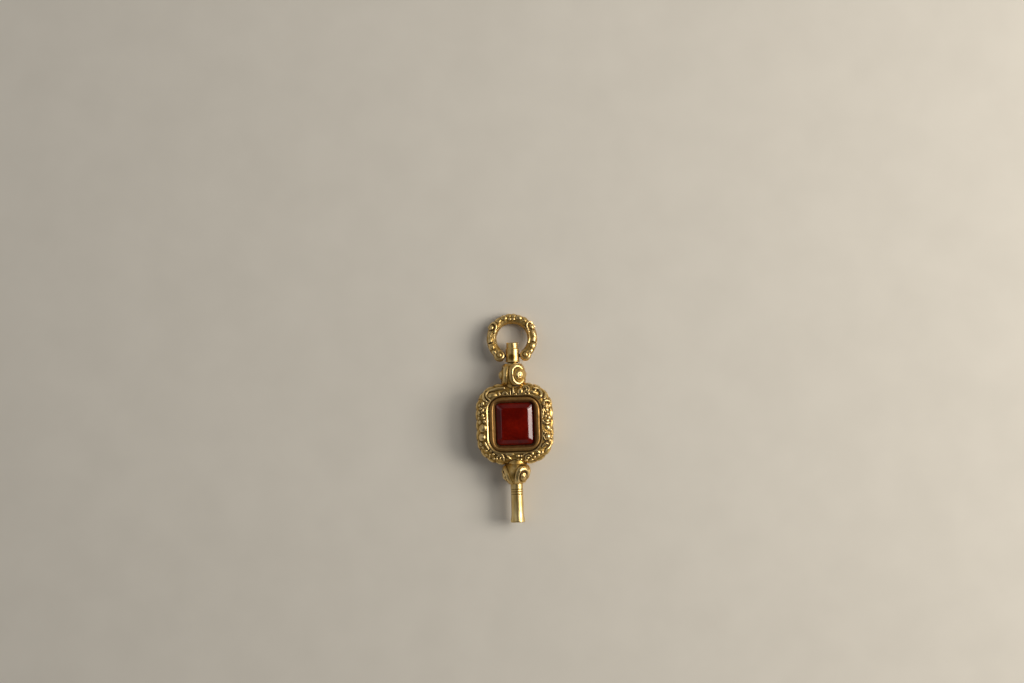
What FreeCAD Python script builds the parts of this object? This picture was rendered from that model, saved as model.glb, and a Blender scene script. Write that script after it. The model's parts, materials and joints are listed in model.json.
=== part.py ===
import FreeCAD
import Part
import math
import os

# A pendant watch key: a pipe with a square socket, a stamped and cemented body that carries a stone on
# each side, two hollow knops, and an open bow that swings on a swivelling stem.
# Units are millimetres. The key lies on its back. The origin is the centre of the pipe's mouth, +Y runs
# along the key towards the bow, +Z points out of the front stone, and the key's axis is the line Z = 0.

V = FreeCAD.Vector

# Fits and clearances
running_clearance = 0.05     # radial, pin in stem and stud in cap
solder_clearance = 0.02      # between soldered or cemented pieces whose curved faces meet
rest_clearance = 0.02        # between the drooping bow and the surface that the key lies on

# Pipe
pipe_length = 7.8            # from the mouth to the lower knop
pipe_diameter = 2.46
pipe_lip_diameter = 2.9
pipe_lip_length = 0.35       # straight land at the mouth
pipe_flare_length = 1.7
flare_middle_length = 0.45   # the flare's arc passes this share of its length
flare_middle_width = 0.3     # and this share of its widening
sleeve_wall = 0.2            # rolled sleeve round the steel liner
ring_groove_count = 3
ring_groove_pitch = 0.5
ring_groove_depth = 0.07
ring_groove_start = 1.2      # first turned ring, measured from the lower knop
socket_across_flats = 1.25
socket_depth = 5.0
pilot_depth = 1.0            # round drilled hole beyond the square socket
mouth_recess = 0.1           # the steel liner sits this far inside the lip
liner_tang = 1.6             # liner inside the lower knop

# Spine that ties pipe, body and upper knop together
spine_radius = 0.6
spine_spigot_radius = 0.4
spine_spigot_length = 0.6
spine_washer_radius = 1.4
spine_washer_thickness = 0.35
spine_rivet_radius = 0.95
spine_rivet_thickness = 0.3
bush_thickness = 0.8

# Knops
lower_knop_length = 4.0      # between the pipe and the body
upper_knop_length = 4.1      # between the body and the swivel
knop_neck_radius = 1.65
knop_belly_radius = 2.6
knop_base_radius = 2.1
knop_belly_share = 0.56      # belly's place, as a share of the knop's length from its neck
knop_wall = 0.3
cap_thickness = 0.25         # cap that closes the upper knop
cap_spigot_length = 0.35
collar_length = 0.9          # collar inside the lower knop's neck
volute_count = 4
volute_turn = 38.0           # degrees from the front to the first volute
volute_boss_radius = 0.85
volute_boss_rise = 0.4
volute_ridge_radius = 1.36
volute_ridge_thickness = 0.32
volute_sink = 0.34
volute_opening = 110.0       # degrees left open in each C-shaped ridge
lower_volute_facing = 300.0  # where the lower knop's ridges open, anticlockwise from the right
upper_volute_facing = 0.0

# Stamped frame of the body
window_width = 10.2
window_height = 10.9
window_corner_radius = 2.7
border_width = 0.45          # plain inner border
border_drop = 0.3            # the border falls this far to the window
dome_radius = 2.0            # round of the frame's section
dome_crest = 2.68            # height of the crest over the seam
frame_wall = 0.3
flange_height = 1.05         # lower edge of the window's flange, over the seam

# Relief on the frame
bead_radius = 0.85
bead_rise = 0.22
bead_count = 4
bead_pitch = 1.9
bead_slope = 30.0            # degrees up the dome from its outer edge
scroll_boss_radius = 0.55
scroll_ridge_radius = 0.95
scroll_ridge_thickness = 0.3
scroll_sink = 0.2
scroll_slope = 45.0
scroll_sweep = 240.0         # degrees of each corner's C-shaped ridge
scroll_start_side = 200.0    # its first angle, at a corner that follows a long side
scroll_start_end = 100.0     # and at one that follows a short side
lobe_radius = 0.8
lobe_length = 1.1
lobe_rise = 0.22
lobe_slope = 58.0
lobe_offset = 3.15           # from the key's axis to the middle of a lobe
centre_ridge_radius = 0.28
centre_ridge_length = 1.0
centre_ridge_slope = 68.0

# Stone settings
collet_clearance = 0.04
rim_height = 2.85            # rim over the seam; the back rim is what the key rests on
rim_width = 0.28
rim_shoulder_width = 0.42    # slope outside the rim
rim_shoulder_height = 0.4
collet_floor = 0.25
collet_slope_height = 0.78   # depth of the sloping wall inside the rim
relief_clearance = 0.08      # relief is worn flat this far inside the rim's level
seat_gap = 0.05              # round the stone
seat_depth = 0.35
stone_width = 7.5
stone_height = 8.4
stone_corner_radius = 0.75
stone_bevel_width = 0.8
stone_bevel_height = 0.62
stone_table_corner_share = 0.5  # of the girdle's corner radius
stone_table_drop = 0.15      # table below the rim
bed_thickness = 0.12

# Swivel
swivel_gap = 0.06            # between the stem's neck and the cap
stem_neck_length = 0.24
stem_neck_radius = 1.1
stem_radius = 1.35
stem_top_radius = 1.18
stem_top_length = 1.3
stem_foot_radius = 1.45
stem_foot_length = 0.5
stem_length = 3.9            # without the neck
stem_edge = 0.12
stud_radius = 0.6
stud_head_radius = 0.95
stud_head_thickness = 0.4
stud_grip = 0.8              # stud inside the stem, below the pivot pin
washer_radius = 1.1
washer_thickness = 0.2

# Bow
pivot_height = 1.3           # pivot above the stem's foot
pin_radius = 0.3
pin_end_depth = 0.75         # pin beyond the middle of each terminal
terminal_radius = 1.2
terminal_offset = 2.6        # from the key's axis
terminal_gap = 0.1           # between the stem's foot and a terminal
bow_offset = 3.45            # from the pivot to the ring's centre
bow_radius = 4.08            # to the middle of the hollow ring
bow_tube_radius = 1.0
bow_wall = 0.3
bow_hollow_extra = 2.0       # degrees that the hollow runs past each end
bow_relief = 0.1
bow_leaf_turn = 30.0         # degrees between the leaves at the top of the ring
bow_curl_turn = 29.0         # degrees above the ring's centre line
bow_curl_slope = 45.0        # degrees round the tube, from its outer side to the front
bow_curl_opening = 120.0
bow_curl_boss_radius = 0.5
bow_curl_ridge_radius = 0.78
bow_curl_ridge_thickness = 0.22
bow_curl_sink = 0.22
bow_band_turn = -12.0        # degrees, where a band ties each limb
bow_band_thickness = 0.14

# Places that follow from the sizes above
frame_band = border_width + dome_radius
dome_centre_height = dome_crest - dome_radius
body_bottom = pipe_length + lower_knop_length
body_centre = body_bottom + frame_band + window_height / 2
body_top = body_centre + frame_band + window_height / 2
cap_top = body_top + upper_knop_length
stem_foot = cap_top + swivel_gap + stem_neck_length
pivot_place = stem_foot + pivot_height
table_height = rim_height - stone_table_drop
girdle_height = table_height - stone_bevel_height
seat_height = rim_height - collet_slope_height
seat_floor = seat_height - seat_depth
collet_underside = seat_floor - collet_floor
liner_radius = pipe_diameter / 2 - sleeve_wall
neck_bore_radius = knop_neck_radius - knop_wall
relief_limit = rim_height - relief_clearance
bow_reach = bow_offset + bow_radius
bow_droop = math.degrees(
    math.asin((rim_height - rest_clearance - bow_relief - bow_tube_radius) / bow_reach)
)


# Shared shapes

def cylinder_along(axis, start, length, radius):
    return Part.makeCylinder(radius, length, start, axis)


def along_key(start, end, radius):
    return cylinder_along(V(0, 1, 0), V(0, start, 0), end - start, radius)


def turned_on_key(edges):
    """Solid turned about the key's axis from a closed profile in the XY plane."""
    return Part.Face(Part.Wire(edges)).revolve(V(0, 0, 0), V(0, 1, 0), 360)


def lines(points):
    corners = [V(*p) for p in points]
    return [Part.LineSegment(a, b).toShape() for a, b in zip(corners, corners[1:])]


def arc_about(centre, radius, start_deg, end_deg, plane="XY"):
    """Arc round a centre, with its angles in degrees in the XY or XZ plane."""
    points = []
    for share in (0.0, 0.5, 1.0):
        angle = math.radians(start_deg + (end_deg - start_deg) * share)
        across, up = radius * math.cos(angle), radius * math.sin(angle)
        step = V(across, up, 0) if plane == "XY" else V(across, 0, up)
        points.append(centre + step)
    return Part.Arc(*points).toShape()


def ring_arc(centre, ring_radius, tube_radius, start_deg, end_deg):
    """Part of a torus that lies flat in the XY plane."""
    angle = math.radians(start_deg)
    outward = V(math.cos(angle), math.sin(angle), 0)
    tangent = V(-outward.y, outward.x, 0)
    circle = Part.Circle(centre + outward * ring_radius, tangent, tube_radius)
    section = Part.Face(Part.Wire([circle.toShape()]))
    return section.revolve(centre, V(0, 0, 1), end_deg - start_deg)


def placed(shape, point, across, up, out):
    """Copy of a shape made at the origin, with its X, Y and Z turned to three given directions."""
    turn = FreeCAD.Rotation(across, up, out, "ZXY")
    moved = shape.copy()
    moved.Placement = FreeCAD.Placement(point, turn)
    return moved


def joined(shapes):
    return shapes[0].multiFuse(shapes[1:]).removeSplitter() if len(shapes) > 1 else shapes[0]


def mirrored(shape):
    """The same piece on the other side of the key's middle plane."""
    return shape.mirror(V(0, 0, 0), V(0, 0, 1))


def half_slab(side, thickness):
    """Slab in front of (side 1) or behind (side -1) the middle plane."""
    size = 4 * (body_top + bow_reach)
    low = 0 if side > 0 else -thickness
    return Part.makeBox(size, size, thickness, V(-size / 2, -size / 2, low))


def volute(boss_radius, boss_centre, ridge_radius, ridge_thickness, sink, first_deg, last_deg):
    """Round boss with a C-shaped ridge round it, made flat on the XY plane."""
    boss = Part.makeSphere(boss_radius, V(0, 0, boss_centre))
    ridge = ring_arc(V(0, 0, -sink), ridge_radius, ridge_thickness, first_deg, last_deg)
    ends = []
    for angle in (first_deg, last_deg):
        turn = math.radians(angle)
        end = V(ridge_radius * math.cos(turn), ridge_radius * math.sin(turn), -sink)
        ends.append(Part.makeSphere(ridge_thickness, end))
    return joined([boss, ridge] + ends)


def export(shape, name):
    solids = shape.Solids
    kept = solids[0] if len(solids) == 1 else Part.makeCompound(solids)
    kept.exportStep("parts/" + name + ".step")
    sizes = kept.optimalBoundingBox()
    print(f"{name:26s} solids {len(solids)} valid {kept.isValid()} volume {kept.Volume:9.4f}"
          f" size {sizes.XLength:6.2f} {sizes.YLength:6.2f} {sizes.ZLength:6.2f}")


# Pipe: a rolled sleeve with turned rings and a flared mouth, round a steel liner with the square socket

def pipe_sleeve():
    radius = pipe_diameter / 2
    lip = pipe_lip_diameter / 2
    flare_end = pipe_lip_length + pipe_flare_length
    flare_low = V(lip, pipe_lip_length, 0)
    flare_high = V(radius, flare_end, 0)
    flare_middle = V(radius + (lip - radius) * flare_middle_width,
                     pipe_lip_length + pipe_flare_length * flare_middle_length, 0)
    edges = lines([(liner_radius, 0, 0), (lip, 0, 0), (lip, pipe_lip_length, 0)])
    edges.append(Part.Arc(flare_low, flare_middle, flare_high).toShape())
    edges += lines([(radius, flare_end, 0), (radius, pipe_length, 0), (liner_radius, pipe_length, 0),
                    (liner_radius, 0, 0)])
    sleeve = turned_on_key(edges)
    for ring in range(ring_groove_count):
        place = pipe_length - ring_groove_start - ring * ring_groove_pitch
        groove = Part.makeTorus(radius, ring_groove_depth, V(0, place, 0), V(0, 1, 0))
        sleeve = sleeve.cut(groove)
    return sleeve


liner_top = pipe_length + liner_tang


def pipe_liner():
    liner = along_key(mouth_recess, liner_top, liner_radius)
    across = socket_across_flats
    socket = Part.makeBox(across, socket_depth, across, V(-across / 2, mouth_recess, -across / 2))
    pilot = along_key(mouth_recess, mouth_recess + socket_depth + pilot_depth, across / 2)
    spigot_seat = along_key(liner_top - spine_spigot_length, liner_top, spine_spigot_radius)
    return liner.cut(socket).cut(pilot).cut(spigot_seat)


def pipe_collar():
    """Ring that fills the lower knop's neck round the liner."""
    end = pipe_length + collar_length
    ring = along_key(pipe_length, end, neck_bore_radius - solder_clearance)
    return ring.cut(along_key(pipe_length, end, liner_radius))


# Knops: hollow bulbs, stamped in a front and a back half, with C-scrolls round a boss

def knop_arcs(length):
    """Radii of the two arcs that meet at the belly, and the belly's distance from the neck."""
    belly = length * knop_belly_share
    rest = length - belly
    to_neck = knop_belly_radius - knop_neck_radius
    to_base = knop_belly_radius - knop_base_radius
    neck_arc = (to_neck ** 2 + belly ** 2) / (2 * to_neck)
    base_arc = (to_base ** 2 + rest ** 2) / (2 * to_base)
    return neck_arc, base_arc, belly


def knop_bulb(neck_place, direction, length, inset, base_extra):
    """Solid bulb from its neck towards the body, shrunk by inset, with a straight tail past its base."""
    neck_arc, base_arc, belly = knop_arcs(length)
    neck_deg = math.degrees(math.asin(belly / (neck_arc - inset)))
    base_deg = math.degrees(math.asin((length - belly) / (base_arc - inset)))
    belly_place = neck_place + direction * belly
    neck_centre = V(knop_belly_radius - neck_arc, belly_place, 0)
    base_centre = V(knop_belly_radius - base_arc, belly_place, 0)
    neck_edge = arc_about(neck_centre, neck_arc - inset, -direction * neck_deg, 0)
    base_edge = arc_about(base_centre, base_arc - inset, 0, direction * base_deg)
    start = neck_edge.Vertexes[0].Point
    end = base_edge.Vertexes[-1].Point
    tail = end.y + direction * base_extra
    edges = lines([(0, start.y, 0), (start.x, start.y, 0)]) + [neck_edge, base_edge]
    edges += lines([(end.x, end.y, 0), (end.x, tail, 0), (0, tail, 0), (0, start.y, 0)])
    return turned_on_key(edges)


def knop_relief(belly_place, opening_middle):
    """C-scrolls round the belly; each opens towards an angle measured on its own face."""
    half_open = volute_opening / 2
    boss_centre = volute_boss_rise - volute_boss_radius
    scroll = volute(volute_boss_radius, boss_centre, volute_ridge_radius, volute_ridge_thickness,
                    volute_sink, opening_middle + half_open, opening_middle + 360 - half_open)
    shapes = []
    for number in range(volute_count):
        angle = math.radians(volute_turn + number * 360 / volute_count)
        out = V(math.sin(angle), 0, math.cos(angle))
        across = V(math.cos(angle), 0, -math.sin(angle))
        point = out * knop_belly_radius + V(0, belly_place, 0)
        facing = scroll if number % 2 == 0 else scroll.mirror(V(0, 0, 0), V(1, 0, 0))
        shapes.append(placed(facing, point, across, V(0, 1, 0), out))
    return shapes


def knop(neck_place, direction, length, bore_depth, opening_middle, body):
    """Whole hollow knop, saddled to the body. Its neck is open for a cap or collar."""
    belly_place = neck_place + direction * length * knop_belly_share
    bulb = knop_bulb(neck_place, direction, length, 0, dome_radius)
    hollow = knop_bulb(neck_place, direction, length, knop_wall, dome_radius)
    solid = joined([bulb] + knop_relief(belly_place, opening_middle))
    neck_limit = neck_place - direction * bow_reach
    beyond_neck = along_key(min(neck_place, neck_limit), max(neck_place, neck_limit), bow_reach)
    bore_end = neck_place + direction * bore_depth
    bore = along_key(min(neck_place, bore_end), max(neck_place, bore_end), neck_bore_radius)
    return solid.cut(hollow).cut(bore).cut(beyond_neck).cut(body)


lower_knop_neck = pipe_length
upper_knop_neck = cap_top - cap_thickness


def knop_halves(whole, name):
    for side, label in ((1, "front"), (-1, "back")):
        export(whole.common(half_slab(side, relief_limit)), f"{name}_{label}_shell")


# Body: two stamped half-frames that meet on a seam at the middle plane

def side_frames():
    """For each of the four sides: corner centres at its start and end, its outward direction and angle."""
    half_w = window_width / 2 - window_corner_radius
    half_h = window_height / 2 - window_corner_radius
    corners = [V(half_w, body_centre - half_h, 0), V(half_w, body_centre + half_h, 0),
               V(-half_w, body_centre + half_h, 0), V(-half_w, body_centre - half_h, 0)]
    sides = []
    for number in range(4):
        angle = 90 * number
        outward = V(math.cos(math.radians(angle)), math.sin(math.radians(angle)), 0)
        sides.append((corners[number], corners[(number + 1) % 4], outward, angle))
    return sides


def around_window(edges):
    """Solid with a section of distance from the window (X) and height (Z), carried round the window."""
    section = Part.Face(Part.Wire(edges))
    section.translate(V(window_corner_radius, 0, 0))
    solids = []
    for start, end, _, angle in side_frames():
        turned = section.copy()
        turned.rotate(V(0, 0, 0), V(0, 0, 1), angle)
        side = turned.copy()
        side.translate(start)
        solids.append(side.extrude(end - start))
        turned.translate(end)
        solids.append(turned.revolve(end, V(0, 0, 1), 90))
    return joined(solids)


def frame_section(inset, low, inner):
    """Section of the frame shrunk by inset; its inner edge lies at distance inner from the window."""
    radius = dome_radius - inset
    centre = V(border_width, 0, dome_centre_height)
    border = dome_crest - inset - border_drop * (border_width - inner) / border_width
    outer = border_width + radius
    edges = [arc_about(centre, radius, 0, 90, "XZ")]
    edges += lines([(border_width, 0, dome_crest - inset), (inner, 0, border), (inner, 0, low),
                    (outer, 0, low), (outer, 0, dome_centre_height)])
    return edges


def frame_cavity(inset):
    """Hollow of one half-frame, down to the seam and open to the space under the collets."""
    ring = around_window(frame_section(inset, 0, inset))
    overlap = 2 * inset
    under = around_window(lines([(-inset, 0, 0), (overlap, 0, 0), (overlap, 0, flange_height),
                                 (-inset, 0, flange_height), (-inset, 0, 0)]))
    return ring.fuse(under)


def on_dome(shape, point, outward, slope_deg, lift):
    """Places relief on the frame's dome; the shape's Y runs up the dome and its Z out of it."""
    slope = math.radians(slope_deg)
    up = V(0, 0, 1)
    out = outward * math.cos(slope) + up * math.sin(slope)
    across = outward.cross(up)
    spot = point + outward * border_width + up * dome_centre_height + out * (dome_radius + lift)
    return placed(shape, spot, across, out.cross(across), out)


def frame_relief():
    shapes = []
    bead = Part.makeSphere(bead_radius)
    half_lobe = V(lobe_length / 2, 0, 0)
    lobe = joined([cylinder_along(V(1, 0, 0), -half_lobe, lobe_length, lobe_radius),
                   Part.makeSphere(lobe_radius, half_lobe), Part.makeSphere(lobe_radius, -half_lobe)])
    half_ridge = V(0, centre_ridge_length / 2, 0)
    ridge = joined([cylinder_along(V(0, 1, 0), -half_ridge, centre_ridge_length, centre_ridge_radius),
                    Part.makeSphere(centre_ridge_radius, half_ridge),
                    Part.makeSphere(centre_ridge_radius, -half_ridge)])
    for start, end, outward, angle in side_frames():
        middle = (start + end) * 0.5 + outward * window_corner_radius
        tangent = V(-outward.y, outward.x, 0)
        if angle in (0, 180):
            for number in range(bead_count):
                step = (number - (bead_count - 1) / 2) * bead_pitch
                shapes.append(on_dome(bead, middle + tangent * step, outward, bead_slope,
                                      bead_rise - bead_radius))
        else:
            for step in (-lobe_offset, lobe_offset):
                shapes.append(on_dome(lobe, middle + tangent * step, outward, lobe_slope,
                                      lobe_rise - lobe_radius))
            shapes.append(on_dome(ridge, middle, outward, centre_ridge_slope, -centre_ridge_radius / 2))
        turn = math.radians(angle + 45)
        corner_out = V(math.cos(turn), math.sin(turn), 0)
        first = scroll_start_side if angle in (0, 180) else scroll_start_end
        scroll = volute(scroll_boss_radius, 0, scroll_ridge_radius, scroll_ridge_thickness,
                        0, first, first + scroll_sweep)
        shapes.append(on_dome(scroll, end + corner_out * window_corner_radius, corner_out,
                              scroll_slope, -scroll_sink))
    return shapes


def window_space(clearance, low, high):
    return prism(window_width - 2 * clearance, window_height - 2 * clearance,
                 window_corner_radius - clearance, low, high)


def spine_hole():
    return along_key(liner_top, cap_top, spine_radius + solder_clearance)


def body_outside():
    """Outer form of the front half-frame with its relief, without its hollow."""
    ring = around_window(frame_section(0, 0, 0))
    raised = joined([ring] + frame_relief())
    tall = 2 * rim_height
    return raised.cut(window_space(0, -tall, tall)).common(half_slab(1, relief_limit))


def body_front_shell(outside):
    return outside.cut(frame_cavity(frame_wall)).cut(spine_hole())


def body_filler():
    """Hard cement that fills the half-frames between the collets and grips the spine."""
    inset = frame_wall + solder_clearance
    top = collet_underside - solder_clearance
    half = frame_cavity(inset).fuse(window_space(-inset, 0, top))
    half = half.common(window_space(-frame_band, 0, dome_crest))
    flange = around_window(lines([(-inset, 0, flange_height - solder_clearance),
                                  (inset, 0, flange_height - solder_clearance),
                                  (inset, 0, dome_crest), (-inset, 0, dome_crest),
                                  (-inset, 0, flange_height - solder_clearance)]))
    half = half.cut(flange)
    return half.fuse(mirrored(half)).removeSplitter().cut(spine_hole())


# Stone settings: a collet with a sloping wall, a thin cement bed and a bevelled table-cut stone

def outline(width, height, radius, level):
    """Rounded rectangle about the body's centre at one height."""
    half_w, half_h = width / 2, height / 2
    corners = [(half_w - radius, -half_h + radius, -90), (half_w - radius, half_h - radius, 0),
               (-half_w + radius, half_h - radius, 90), (-half_w + radius, -half_h + radius, 180)]
    edges = []
    last = None
    for x, y, start in corners:
        arc = arc_about(V(x, body_centre + y, level), radius, start, start + 90)
        if last is not None:
            edges.append(Part.LineSegment(last, arc.Vertexes[0].Point).toShape())
        edges.append(arc)
        last = arc.Vertexes[-1].Point
    edges.append(Part.LineSegment(last, edges[0].Vertexes[0].Point).toShape())
    return Part.Wire(edges)


def prism(width, height, radius, low, high):
    return Part.Face(outline(width, height, radius, low)).extrude(V(0, 0, high - low))


def tapered(low_size, low_radius, low, high_size, high_radius, high):
    return Part.makeLoft([outline(*low_size, low_radius, low), outline(*high_size, high_radius, high)],
                         True, True)


stone_size = (stone_width, stone_height)
seat_size = (stone_width + 2 * seat_gap, stone_height + 2 * seat_gap)
collet_size = (window_width - 2 * collet_clearance, window_height - 2 * collet_clearance)
collet_corner = window_corner_radius - collet_clearance
seat_corner = stone_corner_radius + seat_gap


def shrunk(size, inset):
    return size[0] - 2 * inset, size[1] - 2 * inset


def front_collet():
    shoulder = rim_height - rim_shoulder_height
    collet = prism(*collet_size, collet_corner, collet_underside, shoulder)
    rim_inset = rim_shoulder_width
    mouth_inset = rim_shoulder_width + rim_width
    rim = tapered(collet_size, collet_corner, shoulder,
                  shrunk(collet_size, rim_inset), collet_corner - rim_inset, rim_height)
    slope = tapered(seat_size, seat_corner, seat_height,
                    shrunk(collet_size, mouth_inset), collet_corner - mouth_inset, rim_height)
    seat = prism(*seat_size, seat_corner, seat_floor, seat_height)
    return collet.fuse(rim).removeSplitter().cut(slope).cut(seat)


def front_stone():
    bottom = seat_floor + bed_thickness
    girdle = prism(*stone_size, stone_corner_radius, bottom, girdle_height)
    table_size = shrunk(stone_size, stone_bevel_width)
    table_corner = stone_corner_radius * stone_table_corner_share
    crown = tapered(stone_size, stone_corner_radius, girdle_height, table_size, table_corner,
                    table_height)
    return girdle.fuse(crown).removeSplitter()


def front_bed():
    return prism(*seat_size, seat_corner, seat_floor, seat_floor + bed_thickness)


# Spine, its washer and the bush in the lower knop

washer_seat = body_top
washer_top = washer_seat + spine_washer_thickness


def spine_rod():
    rod = along_key(liner_top, washer_top, spine_radius)
    spigot = along_key(liner_top - spine_spigot_length, liner_top, spine_spigot_radius)
    rivet = along_key(washer_top, washer_top + spine_rivet_thickness, spine_rivet_radius)
    return rod.fuse(spigot).fuse(rivet).removeSplitter()


def spine_washer():
    washer = along_key(washer_seat, washer_top, spine_washer_radius)
    return washer.cut(along_key(washer_seat, washer_top, spine_radius))


def lower_knop_bush():
    """Disc that fills the lower knop round the end of the liner and the spine."""
    hollow = knop_bulb(lower_knop_neck, 1, lower_knop_length, knop_wall + solder_clearance, dome_radius)
    low = liner_top - bush_thickness / 2
    slab = along_key(low, low + bush_thickness, knop_belly_radius)
    bush = hollow.common(slab)
    return bush.cut(along_key(low, liner_top, liner_radius)).cut(
        along_key(liner_top, low + bush_thickness, spine_radius))


# Swivel: the cap closes the upper knop, and the stud turns in it under the stem

def upper_knop_cap():
    cap = along_key(upper_knop_neck, cap_top, knop_neck_radius)
    spigot = along_key(upper_knop_neck - cap_spigot_length, cap_top, neck_bore_radius - solder_clearance)
    bore = along_key(upper_knop_neck - cap_spigot_length, cap_top, stud_radius + running_clearance)
    return cap.fuse(spigot).removeSplitter().cut(bore)


head_top = upper_knop_neck - cap_spigot_length - swivel_gap - washer_thickness


def swivel_stud():
    head = along_key(head_top - stud_head_thickness, head_top, stud_head_radius)
    shank = along_key(head_top, stem_foot + stud_grip, stud_radius)
    return head.fuse(shank).removeSplitter()


def swivel_washer():
    washer = along_key(head_top, head_top + washer_thickness, washer_radius)
    return washer.cut(along_key(head_top, head_top + washer_thickness, stud_radius))


def swivel_stem():
    foot_top = stem_foot + stem_foot_length
    top = stem_foot + stem_length
    step = top - stem_top_length
    start = (0, stem_foot - stem_neck_length, 0)
    edges = lines([start, (stem_neck_radius, stem_foot - stem_neck_length, 0),
                   (stem_neck_radius, stem_foot, 0), (stem_foot_radius, stem_foot, 0),
                   (stem_radius, foot_top, 0), (stem_radius, step, 0),
                   (stem_top_radius, step + stem_edge, 0), (stem_top_radius, top - stem_edge, 0),
                   (stem_top_radius - stem_edge, top, 0), (0, top, 0), start])
    stem = turned_on_key(edges)
    seat = along_key(stem_foot - stem_neck_length, stem_foot + stud_grip, stud_radius)
    bore = cylinder_along(V(1, 0, 0), V(-2 * stem_radius, pivot_place, 0), 4 * stem_radius,
                          pin_radius + running_clearance)
    return stem.cut(seat).cut(bore)


# Bow: a hollow open ring in two stamped halves, with a terminal on each end that holds the pivot pin.
# It is made flat about its pivot, and then droops until its far edge is down on the resting surface.

bow_centre = V(0, bow_offset, 0)
gap_half_deg = math.degrees(math.atan2(terminal_offset, bow_offset))


def drooped(shape):
    moved = shape.copy()
    moved.rotate(V(0, 0, 0), V(1, 0, 0), -bow_droop)
    moved.translate(V(0, pivot_place, 0))
    return moved


def on_bow(shape, turn_deg, slope_deg, lift, flip=1):
    """Places relief on the ring; its X runs along the ring, and slope turns it from outside to front."""
    turn, slope = math.radians(turn_deg), math.radians(slope_deg)
    outward = V(math.cos(turn), math.sin(turn), 0)
    tangent = V(-outward.y, outward.x, 0) * flip
    out = outward * math.cos(slope) + V(0, 0, 1) * math.sin(slope)
    spot = bow_centre + outward * bow_radius + out * (bow_tube_radius + lift)
    return placed(shape, spot, tangent, out.cross(tangent), out)


def bow_relief_front():
    shapes = []
    half_open = bow_curl_opening / 2
    curl = volute(bow_curl_boss_radius, 0, bow_curl_ridge_radius, bow_curl_ridge_thickness,
                  0, half_open, 360 - half_open)
    for turn, flip in ((bow_curl_turn, 1), (180 - bow_curl_turn, -1)):
        shapes.append(on_bow(curl, turn, bow_curl_slope, -bow_curl_sink, flip))
    leaf = Part.makeSphere(bow_tube_radius + bow_relief)
    for number in (-1, 0, 1):
        angle = math.radians(90 + number * bow_leaf_turn)
        place = bow_centre + V(math.cos(angle), math.sin(angle), 0) * bow_radius
        shapes.append(leaf.copy())
        shapes[-1].translate(place)
    for turn in (bow_band_turn, 180 - bow_band_turn):
        angle = math.radians(turn)
        outward = V(math.cos(angle), math.sin(angle), 0)
        shapes.append(Part.makeTorus(bow_tube_radius - bow_band_thickness / 2, bow_band_thickness,
                                     bow_centre + outward * bow_radius, V(-outward.y, outward.x, 0)))
    return shapes


def bow_front_shell():
    first, last = -90 + gap_half_deg, 270 - gap_half_deg
    ring = ring_arc(bow_centre, bow_radius, bow_tube_radius, first, last)
    hollow = ring_arc(bow_centre, bow_radius, bow_tube_radius - bow_wall,
                      first - bow_hollow_extra, last + bow_hollow_extra)
    solid = joined([ring] + bow_relief_front()).common(half_slab(1, bow_radius))
    shell = solid.cut(hollow)
    for side in (-1, 1):
        shell = shell.cut(Part.makeSphere(terminal_radius, V(side * terminal_offset, 0, 0)))
    return shell


def bow_terminal():
    """The right terminal: a ball, flat beside the stem and drilled for the pin, turned about the pin."""
    flat = stem_foot_radius + terminal_gap
    pin_end = terminal_offset + pin_end_depth
    flat_angle = math.degrees(math.acos((flat - terminal_offset) / terminal_radius))
    flat_radius = terminal_radius * math.sin(math.radians(flat_angle))
    edges = lines([(flat, pin_radius, 0), (flat, flat_radius, 0)])
    edges.append(arc_about(V(terminal_offset, 0, 0), terminal_radius, flat_angle, 0))
    edges += lines([(terminal_offset + terminal_radius, 0, 0), (pin_end, 0, 0),
                    (pin_end, pin_radius, 0), (flat, pin_radius, 0)])
    return Part.Face(Part.Wire(edges)).revolve(V(0, 0, 0), V(1, 0, 0), 360)


def bow_pin():
    half = terminal_offset + pin_end_depth
    return cylinder_along(V(1, 0, 0), V(-half, 0, 0), 2 * half, pin_radius)


def build():
    os.makedirs("parts", exist_ok=True)
    print(f"bow droop {bow_droop:.2f} degrees, pivot at {pivot_place:.2f}")
    outside = body_outside()
    body = outside.fuse(mirrored(outside))
    front_shell = body_front_shell(outside)

    export(pipe_sleeve(), "pipe_sleeve")
    export(pipe_liner(), "pipe_liner")
    export(pipe_collar(), "pipe_collar")
    lower = knop(lower_knop_neck, 1, lower_knop_length, collar_length, lower_volute_facing, body)
    knop_halves(lower, "lower_knop")
    export(lower_knop_bush(), "lower_knop_bush")
    export(spine_rod(), "spine_rod")
    export(spine_washer(), "spine_washer")

    export(front_shell, "body_front_shell")
    export(mirrored(front_shell), "body_back_shell")
    export(body_filler(), "body_filler")
    for name, shape in (("collet", front_collet()), ("stone_bed", front_bed()), ("stone", front_stone())):
        export(shape, f"front_{name}")
        export(mirrored(shape), f"back_{name}")

    upper = knop(upper_knop_neck, -1, upper_knop_neck - body_top, cap_spigot_length,
                 upper_volute_facing, body)
    knop_halves(upper, "upper_knop")
    export(upper_knop_cap(), "upper_knop_cap")
    export(swivel_stem(), "swivel_stem")
    export(swivel_stud(), "swivel_stud")
    export(swivel_washer(), "swivel_washer")

    bow_front = bow_front_shell()
    export(drooped(bow_front), "bow_front_shell")
    export(drooped(mirrored(bow_front)), "bow_back_shell")
    terminal = bow_terminal()
    export(drooped(terminal.mirror(V(0, 0, 0), V(1, 0, 0))), "bow_terminal_left")
    export(drooped(terminal), "bow_terminal_right")
    export(drooped(bow_pin()), "bow_pin")


build()
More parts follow.
